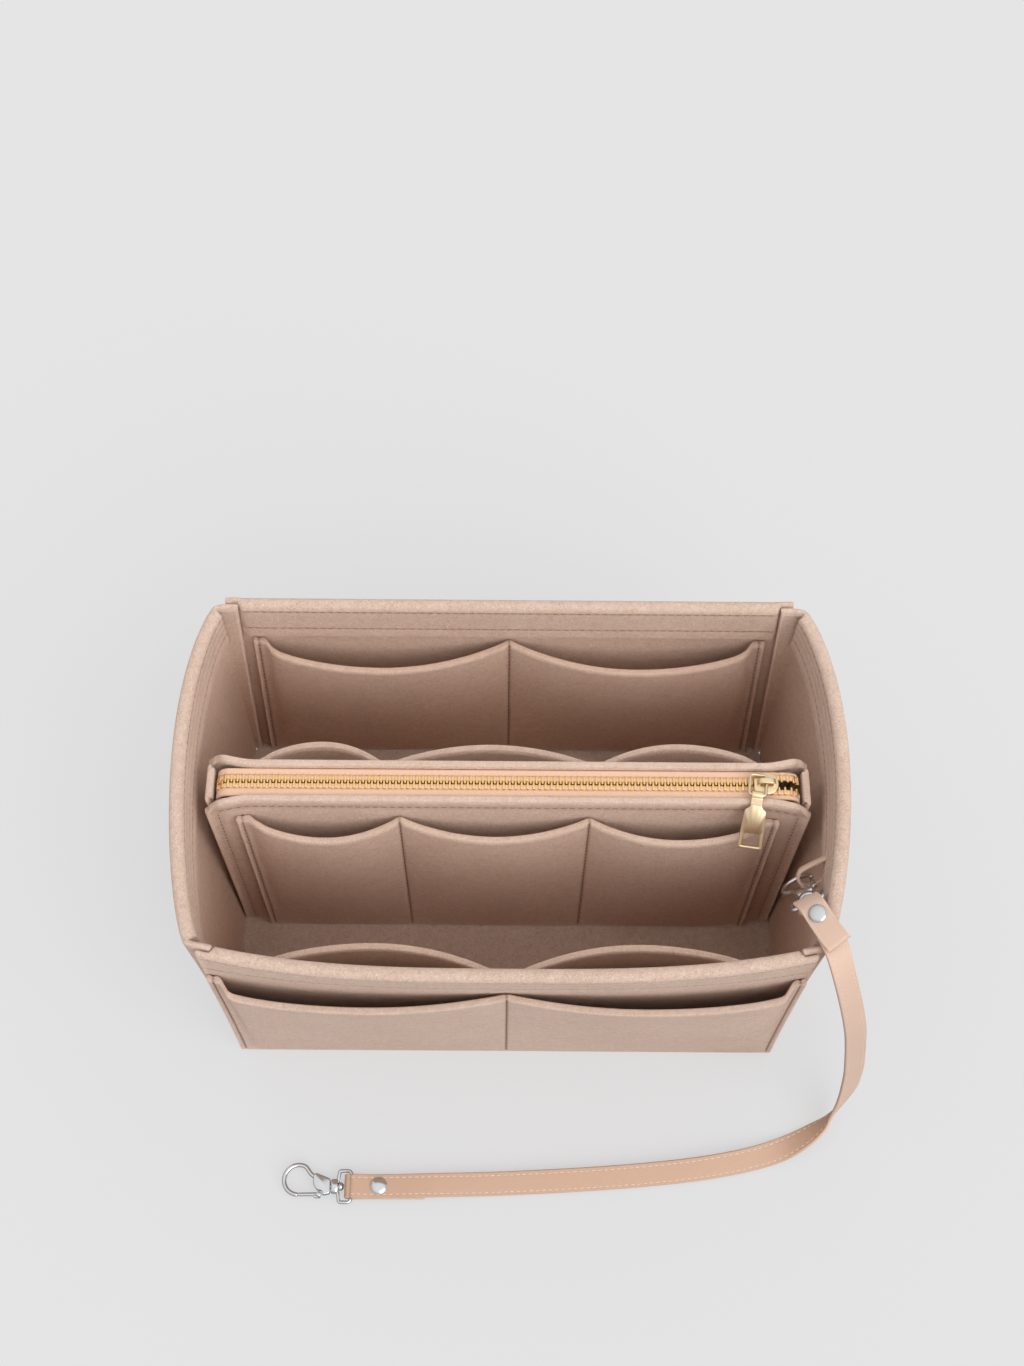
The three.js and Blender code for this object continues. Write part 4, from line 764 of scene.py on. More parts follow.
upper_hardware = hardware_frame(upper_bar, upper_side, np.array([0.1, 0.66, -0.745]))
lower_hardware = hardware_frame(lower_bar, lower_side, np.array([-1.0, 0.0, 0.0]))
leash_pieces = flap_pieces + [strap_rows]
for label, hardware, (middle, lay, axis) in (
    ("upper", upper_hardware, snap_seat(upper_bar, strap_route, upper_flap)),
    ("lower", lower_hardware, snap_seat(lower_bar, strap_route[::-1], lower_flap)),
):
    axis = axis if label == "upper" else -axis
    axes = np.stack([axis, lay, np.cross(axis, lay)])
    reach = layer_pitch / 2 + strap_thickness / 2
    for kind, mesh, seat, body, stands_for in (
        ("ring", swivel_ring(), hardware, "organizer", "swivel_ring"),
        ("trigger_hook", hook_body(), hardware, f"{label}_hook", "hook"),
        ("gate", hook_gate(), hardware, f"{label}_gate", "hook_gate"),
        ("cap", snap_cap(), (middle + axis * (reach + 0.02), axes), "organizer", "snap_cap"),
        ("post", snap_back(), (middle - axis * (reach + 0.1), axes), "organizer", "snap_back"),
    ):
        leash_pieces.append(piece(f"{label}_{kind}", placed(mesh, seat), nickel, body,
                                  [f"{label}_{stands_for}"]))

strap_length = float(walked(strap_path)[-1]) / 1000

# Felt box.
# Four walls and a floor of 3 mm pressed felt. The rim is folded inwards and stitched twice, and the
# end walls are turned in at the corners and sewn to the long walls.

felt = 3.0
seam_gap = 0.3
layer = felt + seam_gap
seam_flange = 5.0
hem_depth = 27.0
hem_end_inset = 7.0
box_depth = 158.5
box_height = 152.5
back_foot_half, back_rim_half = 132.5, 124.5
front_foot_half, front_rim_half = 127.5, 123.5
bulge_foot, right_bulge, left_bulge = 2.5, 19.5, 17.5
front_lean, front_bow = 4.5, 10.0
cut_round, fold_round = 0.7, 2.6
stitch_rows_z = (box_height - 4.2, box_height - hem_depth + 8.0)
felt_stitch_pitch, felt_stitch_length, felt_stitch_radius = 3.6, 2.6, 0.3
hem_stitch_sink, stitch_sink = 0.36, 0.28
hem_creases = (8.6, 13.2)
row_channel, crease_channel = (0.32, 0.8), (0.2, 0.9)
# The depth below the rim at which the painted shade inside the box is full.
depth_shade_reach = 100
# The channel depth at which the painted crease shade is full.
full_press = 0.3
back_y, front_y = box_depth / 2, -box_depth / 2


def stretched(tree, value, low, high, top):
    """The value from low to high made 0 to top."""
    sockets = {"Value": value, "From Min": low, "From Max": high, "To Min": 0.0, "To Max": top}
    return node(tree, "ShaderNodeMapRange", sockets).outputs[0]


def pressed_felt():
    """Needle-punched polyester felt: matted fibres about a tenth of a millimetre thick, drawn some
    five times coarser to show, faint clouds of paler and darker tone, and a pale open nap where it was cut.
    Painted shade darkens the stitched channels, and a second painted shade makes the felt inside the box
    darker and more orange with depth."""
    material, tree, shader, _ = new_material("pressed_polyester_felt")
    place = node(tree, "ShaderNodeTexCoord").outputs["Object"]
    cloud = noise(tree, place, 0.03, 3.0)
    matting = noise(tree, place, 0.0035, 4.0, Roughness=0.65, Distortion=1.2)
    fibre = noise(tree, place, 0.0011, 3.0, Roughness=0.7, Distortion=2.5)
    base = mix(tree, stretched(tree, cloud, 0.3, 0.7, 1.0), "#D3B5A2", "#DDC0AF")
    matted = mix(tree, stretched(tree, matting, 0.3, 0.7, 0.62), base, "#AE8469")
    fibred = mix(tree, stretched(tree, fibre, 0.4, 0.66, 0.9), matted, "#EBD5C6")
    nap = mix(tree, arithmetic(tree, attribute(tree, "cut_edge"), 0.25), fibred, "#E2C9B9")
    # Painted shade: the felt is darkened in the channels that stitch rows and creases dent into it.
    crease_shaded = mix(tree, arithmetic(tree, attribute(tree, "painted_crease_shade"), 0.42), nap, "#9A7A68")
    # Painted shade: inside the box the colour is multiplied by a warm tone that deepens below the rim.
    depth_shaded = mix(tree, attribute(tree, "painted_depth_shade"), crease_shaded, "#FFF0E2", "MULTIPLY")
    finished(tree, shader, {"Base Color": depth_shaded, "Roughness": 0.95, "Specular IOR Level": 0.15,
                            "Sheen Weight": 0.35, "Sheen Roughness": 0.6, "Sheen Tint": linear("#F3DFD2")},
             arithmetic(tree, matting, fibre, "ADD"), 0.0007, 0.8)
    return material


felt_cloth = pressed_felt()
felt_thread = thread("tonal_polyester_thread", "#94715B")


def smooth(x, a, b):
    """0 before a, 1 after b and 3t^2-2t^3 between them."""
    t = np.clip((x - a) / (b - a), 0, 1)
    return t * t * (3 - 2 * t)


def lerp(a, b, t):
    """The value a share t of the way from a to b."""
    return a + (b - a) * t


def back_half(z):
    """Half the back wall's width, narrowing evenly up to the rim."""
    return lerp(back_foot_half, back_rim_half, z / box_height)


def front_half(z):
    """Half the front wall's width, narrowing evenly up to the rim."""
    return lerp(front_foot_half, front_rim_half, z / box_height)


def front_face(x, z):
    """The front wall's outer face leans and bows by (z/height)^1.5 (lean + bow (1 - |x/half|^3))."""
    across = np.clip(np.abs(x / front_half(z)), 0, 1) ** 3
    return front_y - np.maximum(z / box_height, 0) ** 1.5 * (front_lean + front_bow * (1 - across))


def end_face(side, y, z):
    """The end wall's outer face: a line between its corners plus a bulge of sin(pi t^0.86)^p."""
    t = np.clip((back_y - y) / (back_y - front_face(front_half(z), z)), 0, 1)
    rim = right_bulge if side > 0 else left_bulge
    out = bulge_foot + (rim - bulge_foot) * (z / box_height) ** 1.2
    wave = np.maximum(np.sin(math.pi * t**0.86), 0) ** lerp(0.62, 0.56 if side > 0 else 0.48, t)
    return lerp(back_half(z), front_half(z), t) + out * wave


def edge_steps(round_off, count=4):
    """Steps over a rounded edge: distance from the edge and depth of the face under full thickness."""
    turn = np.linspace(0, math.pi / 2, count)
    return round_off * (1 - np.sin(turn)), round_off * (1 - np.cos(turn))


def openness(under, count):
    """How open the two faces are over one rounded end, so many full columns and the other end."""
    return 1 - 2 * np.concatenate([[felt / 2], under[::-1], np.zeros(count), under, [felt / 2]]) / felt


def across_columns(count, close_at=()):
    """Along a sheet: share of its run, distance off its end, and how open its two faces are. There
    are more columns close to each share in close_at."""
    away, under = edge_steps(cut_round)
    near = np.outer(np.array(close_at), np.ones(15)) + np.linspace(-1, 1, 15) ** 3 * 0.008
    even = np.concatenate([np.linspace(0, 1, count), near.ravel()])
    even = np.unique(np.clip(np.round(even, 5), 0, 1))
    share = np.concatenate([[0], 0 * away, even, 0 * away + 1, [1]])
    off = np.concatenate([[0], away[::-1], 0 * even + cut_round, 2 * cut_round - away, [2 * cut_round]])
    return share, off, openness(under, len(even))


def up_rows(heights, folded=False):
    """Up a sheet: share of its height, distance off its foot, the face's depth under the edge, the
    share of half the thickness that a fold takes, how much it is a cut edge, and what both edges use.
    The top is a cut edge, or a fold whose depth is half of whatever the thickness is there."""
    away, under = edge_steps(cut_round)
    reach = fold_round if folded else cut_round
    top_away, top_under = edge_steps(reach, 9 if folded else 4)
    flat, cut_top = 0 * heights, not folded
    share = np.concatenate([[0], 0 * away, heights, 0 * top_away + 1, [1]])
    used = cut_round + reach
    off = np.concatenate([[0], away[::-1], flat + cut_round, used - top_away, [used]])
    depth = np.concatenate([[felt / 2], under[::-1], flat, top_under * cut_top, [felt / 2 * cut_top]])
    fold = np.concatenate([[0], 0 * away, flat, top_under / reach * folded, [1 * folded]])
    cut = np.concatenate([[0], 0 * away, flat, [0.5], np.ones(len(top_away))]) * cut_top
    return share, off, depth, fold, cut, used


def run_at(low, high, share, off=cut_round):
    """A place along a sheet from low to high, by its share of the run and its distance off the end."""
    return lerp(low + cut_round, high - cut_round, share) + off - cut_round


def points_of(x, y, z):
    """Points from their coordinates."""
    return np.stack(np.broadcast_arrays(x, y, z), -1)


def both_faces(put, rows, thick, dent, opened):
    """The two faces of a sheet, how much each point is a cut edge, and how deep its channel dent is, which
    sets its painted crease shade. A face lies as deep as the edge, the fold and the dent say, and closes on
    the middle where the sheet ends."""
    _, _, depth, fold, cut, _ = rows
    inner = (depth + fold * thick / 2 + dent - thick / 2) * opened
    cut = np.maximum(cut + 0 * inner, (opened < 0.95) * 1.0)
    return put(thick / 2 + inner), put(thick / 2 - inner), cut, np.clip(dent / full_press, 0, 1) + 0 * inner


def sheet_mesh(surface):
    """Joins the two faces of a sheet along all four edges into one closed mesh."""
    a, b, cut, crease_shade_share = surface
    columns, rows, _ = a.shape
    near = np.arange(columns * rows).reshape(columns, rows)
    far = near + columns * rows
    far[0], far[-1], far[:, 0], far[:, -1] = near[0], near[-1], near[:, 0], near[:, -1]

    def quads(index, flip):
        """The faces of one side, turned over for the far one."""
        q = np.stack([index[:-1, :-1], index[1:, :-1], index[1:, 1:], index[:-1, 1:]], -1).reshape(-1, 4)
        return q[:, ::-1] if flip else q

    faces = np.vstack([quads(near, False), quads(far, True)])
    points = np.vstack([a.reshape(-1, 3), b.reshape(-1, 3)])
    cut = np.concatenate([cut.ravel(), cut.ravel()])
    crease_shade_share = np.concatenate([crease_shade_share.ravel(), crease_shade_share.ravel()])
    used, faces = np.unique(faces, return_inverse=True)
    return (points[used], faces.reshape(-1, 4).tolist()), {"cut_edge": cut[used], "painted_crease_shade": crease_shade_share[used]}


def felt_piece(name, surface, body, node_name):
    """A sheet of felt as an object. Each point keeps how much it is a cut edge, its channel dent share for
    the painted crease shade, and a painted shade for its depth in the box: inside * (rim - z) / 100, less on
    the pouch, and 0 on the floor."""
    mesh, attributes = sheet_mesh(surface)
    x, y, z = mesh[0].T
    side = np.where(x > 0, end_face(1, y, z), end_face(-1, y, z)) - felt / 2
    inside = (y > front_face(x, z) + felt / 2) & (y < back_y - felt / 2) & (np.abs(x) < side)
    # Painted shade: inside the box the warm darkening grows to full 100 mm below the rim, is halved on the
    # pouch and fades out on the floor.
    share = 1 if body == "organizer" else 0.5
    attributes["painted_depth_shade"] = share * inside * np.clip((box_height - z) / depth_shade_reach, 0, 1) * smooth(z, 4, 12)
    piece(name, mesh, felt_cloth, body, [node_name], attributes=attributes)


def sheet(name, body, node_name, columns, rows, low, high, place, dents=None, thickness=None):
    """A sheet from low(share) to high(share); place(share, off, depth, height) sets its points."""
    share_u, off_u, opened = (a[:, None] for a in columns)
    share_v, off_v, *_, used = rows
    z = low(share_u) + share_v * (high(share_u) - low(share_u) - used) + off_v + 0 * share_u
    thick = thickness(share_u, z) if thickness else felt
    dent = dents(share_u, z) if dents else 0
    surface = both_faces(lambda depth: place(share_u, off_u, depth, z), rows, thick, dent, opened)
    felt_piece(name, surface, body, node_name)


def felt_row(x, y, z, out):
    """A row of stitches in felt, out being the way that the surface faces."""
    line = points_of(x, y, z)
    return stitch_row(line, np.broadcast_to(np.asarray(out, float), line.shape), felt_stitch_pitch,
                      felt_stitch_length, felt_stitch_radius, 0.7)


def stitched(name, rows, body):
    """All the stitches of one piece as one object."""
    piece(name + "_stitching", joined(*rows), felt_thread, body)


def hem_rows():
    """Heights of a hemmed wall's rows as shares: even below the hem edge, close at it and above."""
    hem = (box_height - hem_depth - cut_round) / (box_height - cut_round - fold_round)
    low = np.linspace(0, hem - 0.02, 40)
    step = np.array([hem - 0.004, hem, hem + 0.003, hem + 0.008])
    return np.concatenate([low, step, np.linspace(hem + 0.014, 1, 48)])


def hem_layer(z):
    """1 where the folded-in layer covers the wall, with a cut edge a little over a millimetre round."""
    edge = box_height - hem_depth
    return np.sqrt(np.clip(1 - np.clip((edge + 0.9 - z) / 0.9, 0, 1) ** 2, 0, 1)) * (z > edge)


def row_dent(z):
    """The channel that each row of stitches pulls into the felt."""
    return sum(channel(z - s, *row_channel) for s in stitch_rows_z)


hemmed_rows = up_rows(hem_rows(), folded=True)
hem_stitch_sides = ((hem_stitch_sink, -1), (2 * felt - hem_stitch_sink, 1))


def long_wall(name, half, face, inward, node_name):
    """A long wall: x runs over the whole width, and the hem's inner layer stops short of its ends."""

    def place(share, off, depth, z):
        x = run_at(-half(z), half(z), share, off)
        return points_of(x, face(x, z) + inward * depth, z)

    def thickness(share, z):
        within = half(z) - hem_end_inset - np.abs(run_at(-half(z), half(z), share))
        return felt + felt * smooth(within, -0.4, 0.4) * hem_layer(z)

    sheet(name, "organizer", node_name, across_columns(110), hemmed_rows, lambda u: 0,
          lambda u: box_height, place, lambda u, z: row_dent(z), thickness)
    lines = []
    for z in stitch_rows_z:
        for depth, side in hem_stitch_sides:
            end = half(z) - (3 if side < 0 else hem_end_inset + 1)
            x = np.linspace(-end, end, 200)
            lines.append(felt_row(x, face(x, z) + inward * depth, z, [0, side * inward, 0]))
    stitched(name, lines, "organizer")


long_wall("front_wall", front_half, front_face, 1, "front_panel")
long_wall("back_wall", back_half, lambda x, z: back_y + 0 * x, -1, "back_panel")


def eased_corners(line, corner, far, near):
    """The line with its two corners, so many points from its ends, rounded by a moving mean of seven
    points: fully up to near points away and not at all from far points away."""
    kernel = np.array([1, 2, 3, 4, 3, 2, 1]) / 16
    padded = np.concatenate([line[:1]] * 3 + [line] + [line[-1:]] * 3)
    eased = sum(k * padded[i : i + len(line)] for i, k in enumerate(kernel))
    index = np.arange(len(line))
    away = np.minimum(np.abs(index - corner), np.abs(index[::-1] - corner))
    return lerp(line, eased, smooth(away, far, near)[:, None, None])


def points_in_plan(x, y):
    """Points of a line in plan from their coordinates."""
    return np.stack(np.broadcast_arrays(x, y), -1)


def inward_of(line):
    """The direction square to a line in plan, towards the inside."""
    run = np.gradient(line, axis=0)
    return unit(np.stack([run[..., 1], -run[..., 0]], -1))


def off_plan(side, base, inward, z):
    """The function that puts points a depth inside a line in plan, mirrored for the left end."""

    def put(depth):
        xy = base + inward * depth[..., None]
        return np.stack([side * xy[..., 0], xy[..., 1], z], -1)

    return put


def end_wall_line(side, z):
    """The end wall's outer line in plan at heights z: flange, corner, bulge, corner, flange. The
    corners are eased by a moving mean so that the felt turns in a small round."""
    z = np.atleast_1d(z)
    flange_steps, wall_steps = 8, 96
    back_line = back_y - layer
    turn = (1 - np.cos(np.linspace(0, math.pi, wall_steps))) / 2
    t = 0.6 * turn + 0.4 * np.linspace(0, 1, wall_steps)
    y = lerp(back_line, front_face(front_half(z), z) + layer, t[:, None])
    d = np.linspace(seam_flange, 0.9, flange_steps)[:, None]
    front_x = front_half(z) - d[::-1]
    back = points_in_plan(back_half(z) - d, back_line)
    front = points_in_plan(front_x, front_face(front_x, z) + layer)
    return eased_corners(np.concatenate([back, points_in_plan(end_face(side, y, z), y), front]), flange_steps,
                         7.5, 4.5)


def end_wall(name, side, node_name):
    """One end wall, carried along its line in plan at each height."""
    share, off, *_, used = hemmed_rows
    heights = share * (box_height - used) + off
    line = end_wall_line(side, heights)
    count = len(line)
    from_end = np.minimum(np.arange(count), np.arange(count)[::-1])
    away, under = edge_steps(cut_round)
    ends = len(away) + 1
    pick = np.concatenate([[0] * ends, np.arange(count), [count - 1] * ends])
    step = np.concatenate([[cut_round], cut_round - away[::-1], 0 * from_end, away - cut_round, [-cut_round]])
    flange = smooth(from_end, 8.5, 6.5)[pick][:, None]
    doubled = smooth(from_end, 10, 12)[pick][:, None]
    foot = layer * flange
    z = foot + heights * (1 - foot / box_height)
    thick = felt + felt * doubled * hem_layer(z)
    creases = sum(channel(z - box_height + down, *crease_channel) for down in hem_creases)
    base = line[pick] - unit(np.gradient(line, axis=0))[pick] * step[:, None, None]
    put = off_plan(side, base, inward_of(line)[pick], z)
    surface = both_faces(put, hemmed_rows, thick, (row_dent(z) + creases) * (1 - flange),
                         openness(under, count)[:, None])
    felt_piece(name, surface, "organizer", node_name)
    lines = []
    for level in stitch_rows_z:
        row = end_wall_line(side, level)[:, 0]
        for depth, out in hem_stitch_sides:
            skip = 9 if out < 0 else 13
            at = (row + inward_of(row) * depth)[skip:-skip]
            x, y = (out * inward_of(row))[skip:-skip].T
            lines.append(felt_row(side * at[:, 0], at[:, 1], level, points_of(side * x, y, 0)))
    stitched(name, lines, "organizer")


end_wall("right_wall", 1, "right_side_panel")
end_wall("left_wall", -1, "left_side_panel")


def floor_sheet():
    """The floor: x runs between the end walls at each depth y."""
    low, high = front_y + layer, back_y - layer

    def edge(side, share):
        """Where the floor meets the end wall's inner face, drawn in where that face runs aslant."""
        y = lerp(low, high, share)
        slope = np.clip((end_face(side, y + 0.3, 0.0) - end_face(side, y - 0.3, 0.0)) / 0.6, -1.2, 1.2)
        near_corner = smooth(np.abs(y), high - layer - 3, high)
        return side * (end_face(side, y, 0.0) - (felt - 0.4) * np.hypot(1, slope) - 1.5 * near_corner)

    def place(share, off, depth, x):
        return points_of(x, run_at(low, high, share, off), depth)

    sheet("floor_felt", "organizer", "base_panel", across_columns(60), up_rows(np.linspace(0, 1, 90)),
          lambda u: edge(-1, u), lambda u: edge(1, u), place)


floor_sheet()

# Box pockets.
# A felt sheet is sewn to its wall at both ends, along its foot and up the seam between its two cells.
# It stands off the wall at its pleated ends and bulges in each cell, so the mouth stays open.

pleat_flange = 5.0
pleat_run = 5.0
pocket_end_seam = 2.5
pocket_channel = (0.5, 0.6)
pocket_scoop = 4.0


def pocket_sheet(name, end_at, seams, height, bulge, standoff, foot, face, outward, body, node_name):
    """x runs over the pocket; each point stands off by rise^0.8 (bulge * cell + standoff * stand)."""
    end = end_at(height)
    first = -end + pleat_flange + pleat_run
    edges = np.array([first, *seams, -first])
    cells = len(seams) + 1
    sewn = [*seams, -end + pocket_end_seam, end - pocket_end_seam]
    columns = across_columns(150, [(s + end - cut_round) / 2 / (end - cut_round) for s in sewn])

    def cell_share(x):
        """How far x is through its cell, and which cell it is."""
        index = np.clip(np.searchsorted(edges, x) - 1, 0, cells - 1)
        return np.clip((x - edges[index]) / (edges[index + 1] - edges[index]), 0, 1), index

    def cell(x):
        """The bulge of each cell: sin(pi share)^0.8."""
        share, _ = cell_share(x)
        return np.maximum(np.sin(math.pi * share), 0) ** 0.8 * (np.abs(x) < -first)

    def stand(x):
        """How far the end cells stand off towards their pleats, and 0 on the flanges."""
        share, index = cell_share(x)
        left = (index == 0) * (1 - smooth(share, 0, 1))
        right = (index == cells - 1) * smooth(share, 0, 1)
        inside = (left + right) * (1 - 0.5 * np.sin(math.pi * share))
        return inside * smooth(end - np.abs(x), pleat_flange - 0.5, pleat_flange + pleat_run)

    def narrowed(x, z):
        """x drawn in as the wall narrows."""
        return x * end_at(z) / end

    def off_wall(x, z):
        """The gap between the wall and the pocket."""
        rise = np.clip((z - foot) / (height - foot), 0, 1) ** 0.8
        return seam_gap + rise * (bulge * cell(x) + standoff * stand(x))

    def place(share, off, depth, z):
        x = run_at(-end, end, share, off)
        at = narrowed(x, z)
        return points_of(at, face(at, z) + outward * (off_wall(x, z) + depth), z)

    def dents(share, z):
        pull = sum(channel(run_at(-end, end, share) - s, *pocket_channel) for s in sewn)
        return pull * smooth(z, foot, foot + 6)

    sheet(name, body, node_name, columns, up_rows(np.linspace(0, 1, 44)), lambda u: foot,
          lambda u: height - pocket_scoop * cell(run_at(-end, end, u)), place, dents)
    lines = []
    z = np.linspace(foot + 2, height - 1.5, 60)
    for x in 0 * z + np.array(sewn)[:, None]:
        at = narrowed(x, z)
        depth = off_wall(x, z) + felt - stitch_sink
        lines.append(felt_row(at, face(at, z) + outward * depth, z, [0, outward, 0]))
    stitched(name, lines, body)


pocket_sheet("front_outside_pocket", lambda z: front_half(z) - 1.5, [0.0], box_height - 26.5, 5, 6, 0.0,
             front_face, -1, "organizer", "front_outer_pocket")
pocket_sheet("front_inside_pocket", lambda z: front_half(z) - 14.5, [0.0], box_height - hem_depth - 1, 14.5,
             3, layer, lambda x, z: front_face(x, z) + felt, 1, "organizer", "front_inner_pocket")
pocket_sheet("back_inside_pocket", lambda z: back_half(z) - 10.2, [0.0], box_height - 31.5, 12, 6,
             layer, lambda x, z: back_y - felt + 0 * x, -1, "organizer", "back_inner_pocket")

# Hook loop.
# A narrow strip of the strap's leather, bent round the upper hook's wire and sewn to the right
# wall's hem.

loop_from_bar, loop_bend_side = 27.3, -1.9
loop_height, loop_thickness, loop_opening = 3.6, 1.3, 6.6


def bent_bar(path, width, thickness, radius, count):
    """A flat bar with rounded edges carried along a path."""
    w, h = width / 2, thickness / 2
    section = rounded_outline([[-w, -h], [w, -h], [w, h], [-w, h]], radius, count)
    return tube_mesh(carried(path, section, frames_along(path)))


def loop_strip():
    """A U in the hook's own axes: sideways from the hem, round its wire and back to the hem."""
    along, side, depth = upper_hardware[1]
    centre = upper_bar + along * loop_from_bar
    half = (loop_opening + loop_thickness) / 2

    def hem_at(opening):
        """How far sideways the hem lies at this side of the loop, found by a few steps."""
        sideways = 0.0
        for _ in range(6):
            p = centre + side * sideways + depth * opening
            sideways += (end_face(1, p[1], p[2]) - 2 * felt + 0.4 - p[0]) / side[0]
        return sideways

    bend = arc((loop_bend_side + half, 0), half, 90, 270, 17)[:, :2]
    line = np.vstack([[hem_at(half), half], bend, [hem_at(-half), -half]])
    points = centre + line[:, :1] * side + line[:, 1:] * depth
    path = curve_through(np.hstack([points, np.tile(along, (len(points), 1))]), 0.8)
    return bent_bar(path, loop_height, loop_thickness, 0.35, 4)


piece("hook_loop", loop_strip(), strap_leather, "organizer", ["leash_loop_tab"])

# Zip pouch.
# Two long felt panels, a gusset at each end and a narrow base, sewn edge to edge. The panels stand
# up a little past the gussets, and their corners are eased down where they are sewn.

pouch_half = front_rim_half + 4.5
pouch_height = 139.0
pouch_front_foot, pouch_front_rim = -18.0, -13.2
pouch_back_foot, pouch_back_rim = 8.0, 5.9
pouch_flare, pouch_flare_run = 3.0, 20.0
pouch_drop = 7.0
gusset_flange, gusset_flange_drop = 8.0, 25.2
rim_seam, end_seam = 6.5, 5.0
pouch_channel = (0.3, 0.9)
zip_drop = 2.7
pouch_foot = layer
pouch_top = pouch_foot + pouch_height
pouch_pocket_half, pouch_pocket_top = pouch_half - 12.5, pouch_top - 13


def pouch_flare_at(x, z):
    """How far the panels flare apart, growing towards their ends and their rim."""
    share = smooth(np.abs(x), pouch_half - pouch_flare_run, pouch_half)
    return pouch_flare * share * (z - pouch_foot) / pouch_height


def pouch_front(x, z):
    """The front panel's outer face, leaning back towards its rim and flaring at both ends."""
    return lerp(pouch_front_foot, pouch_front_rim, (z - pouch_foot) / pouch_height) - pouch_flare_at(x, z)


def pouch_back(x, z):
    """The back panel's outer face, leaning and flaring like the front one."""
    return lerp(pouch_back_foot, pouch_back_rim, (z - pouch_foot) / pouch_height) + pouch_flare_at(x, z)


def pouch_panel(name, face, inward, node_name):
    """A long panel whose rim dips at both corners."""

    def place(share, off, depth, z):
        x = run_at(-pouch_half, pouch_half, share, off)
        return points_of(x, face(x, z) + inward * depth, z)

    def high(share):
        x = np.abs(run_at(-pouch_half, pouch_half, share))
        return pouch_top - pouch_drop * smooth(x, pouch_half - gusset_flange, pouch_half) ** 2

    def dents(share, z):
        ends = pouch_half - end_seam - np.abs(run_at(-pouch_half, pouch_half, share))
        return np.maximum(channel(z - pouch_top + rim_seam, *pouch_channel), channel(ends, *pouch_channel))

    sheet(name, "pouch", node_name, across_columns(110), up_rows(np.linspace(0, 1, 50)),
          lambda u: pouch_foot, high, place, dents)
    x = np.linspace(-pouch_half + end_seam, pouch_half - end_seam, 160)
    z = np.linspace(pouch_foot + 3, pouch_top - 9, 60)
    seams = [(x, 0 * x + pouch_top - rim_seam)]
    seams += [(0 * z + end * (pouch_half - end_seam), z) for end in (-1, 1)]
    stitched(name, [felt_row(x, face(x, z) + inward * stitch_sink, z, [0, -inward, 0]) for x, z in seams],
             "pouch")


pouch_panel("pouch_front", pouch_front, 1, "pouch_front_panel")
pouch_panel("pouch_back", pouch_back, -1, "pouch_back_panel")


def gusset(name, side, node_name):
    """A web across the pouch's end with a flange along each panel; its corners are eased."""
    rows = up_rows(np.linspace(0, 1, 40))
    flange_steps, web_steps = 8, 20
    d = np.linspace(gusset_flange, 0, flange_steps)[:, None]
    index = np.arange(2 * flange_steps + web_steps - 2)
    from_end = np.minimum(index, index[::-1])

    def line_at(z):
        """The gusset's line in plan: flange, corner, web, corner, flange."""
        x = pouch_half - d + 0 * z
        back = points_in_plan(x, pouch_back(x, z) - layer)
        front = points_in_plan(x, pouch_front(x, z) + layer)[::-1]
        y = lerp(back[-1, :, 1], front[0, :, 1], np.linspace(0, 1, web_steps)[1:-1][:, None])
        return eased_corners(np.concatenate([back, points_in_plan(pouch_half, y), front]), flange_steps - 1,
                             4.5, 2.5)

    tops = lerp(pouch_top - zip_drop - gusset_flange_drop, pouch_top - pouch_drop * 0.5,
                smooth(from_end, 0, flange_steps - 1))
    share, off, *_, used = rows
    z = pouch_foot + share * (tops[:, None] - pouch_foot - used) + off
    line = np.stack([line_at(level)[i] for i, level in enumerate(z)])
    put = off_plan(side, line, inward_of(line), z)
    felt_piece(name, both_faces(put, rows, felt, 0, np.minimum(from_end, 1)[:, None]), "pouch", node_name)


gusset("pouch_right_end", 1, "pouch_right_gusset")
gusset("pouch_left_end", -1, "pouch_left_gusset")


def pouch_base():
    """The narrow base strip between the panels and the gussets' flanges."""
    near_y, far_y = pouch_front_foot + layer, pouch_back_foot - layer

    def half(share):
        y = lerp(near_y, far_y, share)
        flange = smooth(np.minimum(y - near_y, far_y - y), layer + 0.4, layer - 0.2)
        return lerp(pouch_half - layer, pouch_half - gusset_flange - seam_gap, flange)

    def place(share, off, depth, x):
        return points_of(x, run_at(near_y, far_y, share, off), pouch_foot + depth)

    sheet("pouch_base", "pouch", "pouch_base_panel", across_columns(20), up_rows(np.linspace(0, 1, 90)),
          lambda u: -half(u), half, place)


pouch_base()
for side, seams, bulge, face, outward in (
    ("front", [-46.2, 34.65], 8, pouch_front, -1),
    ("back", [-53.13, 38.12], 12, pouch_back, 1),
):
    pocket_sheet(f"pouch_{side}_pockets", lambda z: pouch_pocket_half, seams, pouch_pocket_top, bulge, 3.5,
                 pouch_foot, face, outward, "pouch", f"pouch_{side}_pocket")

# Zip.
# A coarse metal zip: two woven tapes with a corded edge, each with a row of pressed brass teeth.
# Both ends of the tapes dive between the panels, and the rows are parted behind the slider.

zip_y = -3.45
zip_z = pouch_top - zip_drop
zip_straight = pouch_half - 10.4
zip_radius, zip_turn = 6.0, 1.45
zip_half = zip_straight + zip_radius * zip_turn
slider_x = zip_straight - 8.6
tape_thickness, tape_leg = 0.8, 8.0
tooth_pitch, tooth_height = 2.53, 2.3
cord_outer, cord_middle, cord_half_width, cord_half_height = 2.85, 1.85, 1.3, 0.7
row_parting, parting_run = 1.55, 6.0


def parted(along):
    """How far each row stands off the zip's middle behind the slider."""
    return row_parting * smooth(along, slider_x - parting_run / 3, slider_x + parting_run * 2 / 3)


def on_zip(along, across, up):
    """Flat zip coordinates to the pouch: straight, then round an arc at each end."""
    over = np.maximum(np.abs(along) - zip_straight, 0)
    turn = over / zip_radius
    x = np.where(over > 0, zip_straight + (zip_radius + up) * np.sin(turn), np.abs(along)) * np.sign(along)
    z = np.where(over > 0, zip_z - zip_radius + (zip_radius + up) * np.cos(turn), zip_z + up)
    return points_of(x, zip_y + across, z)


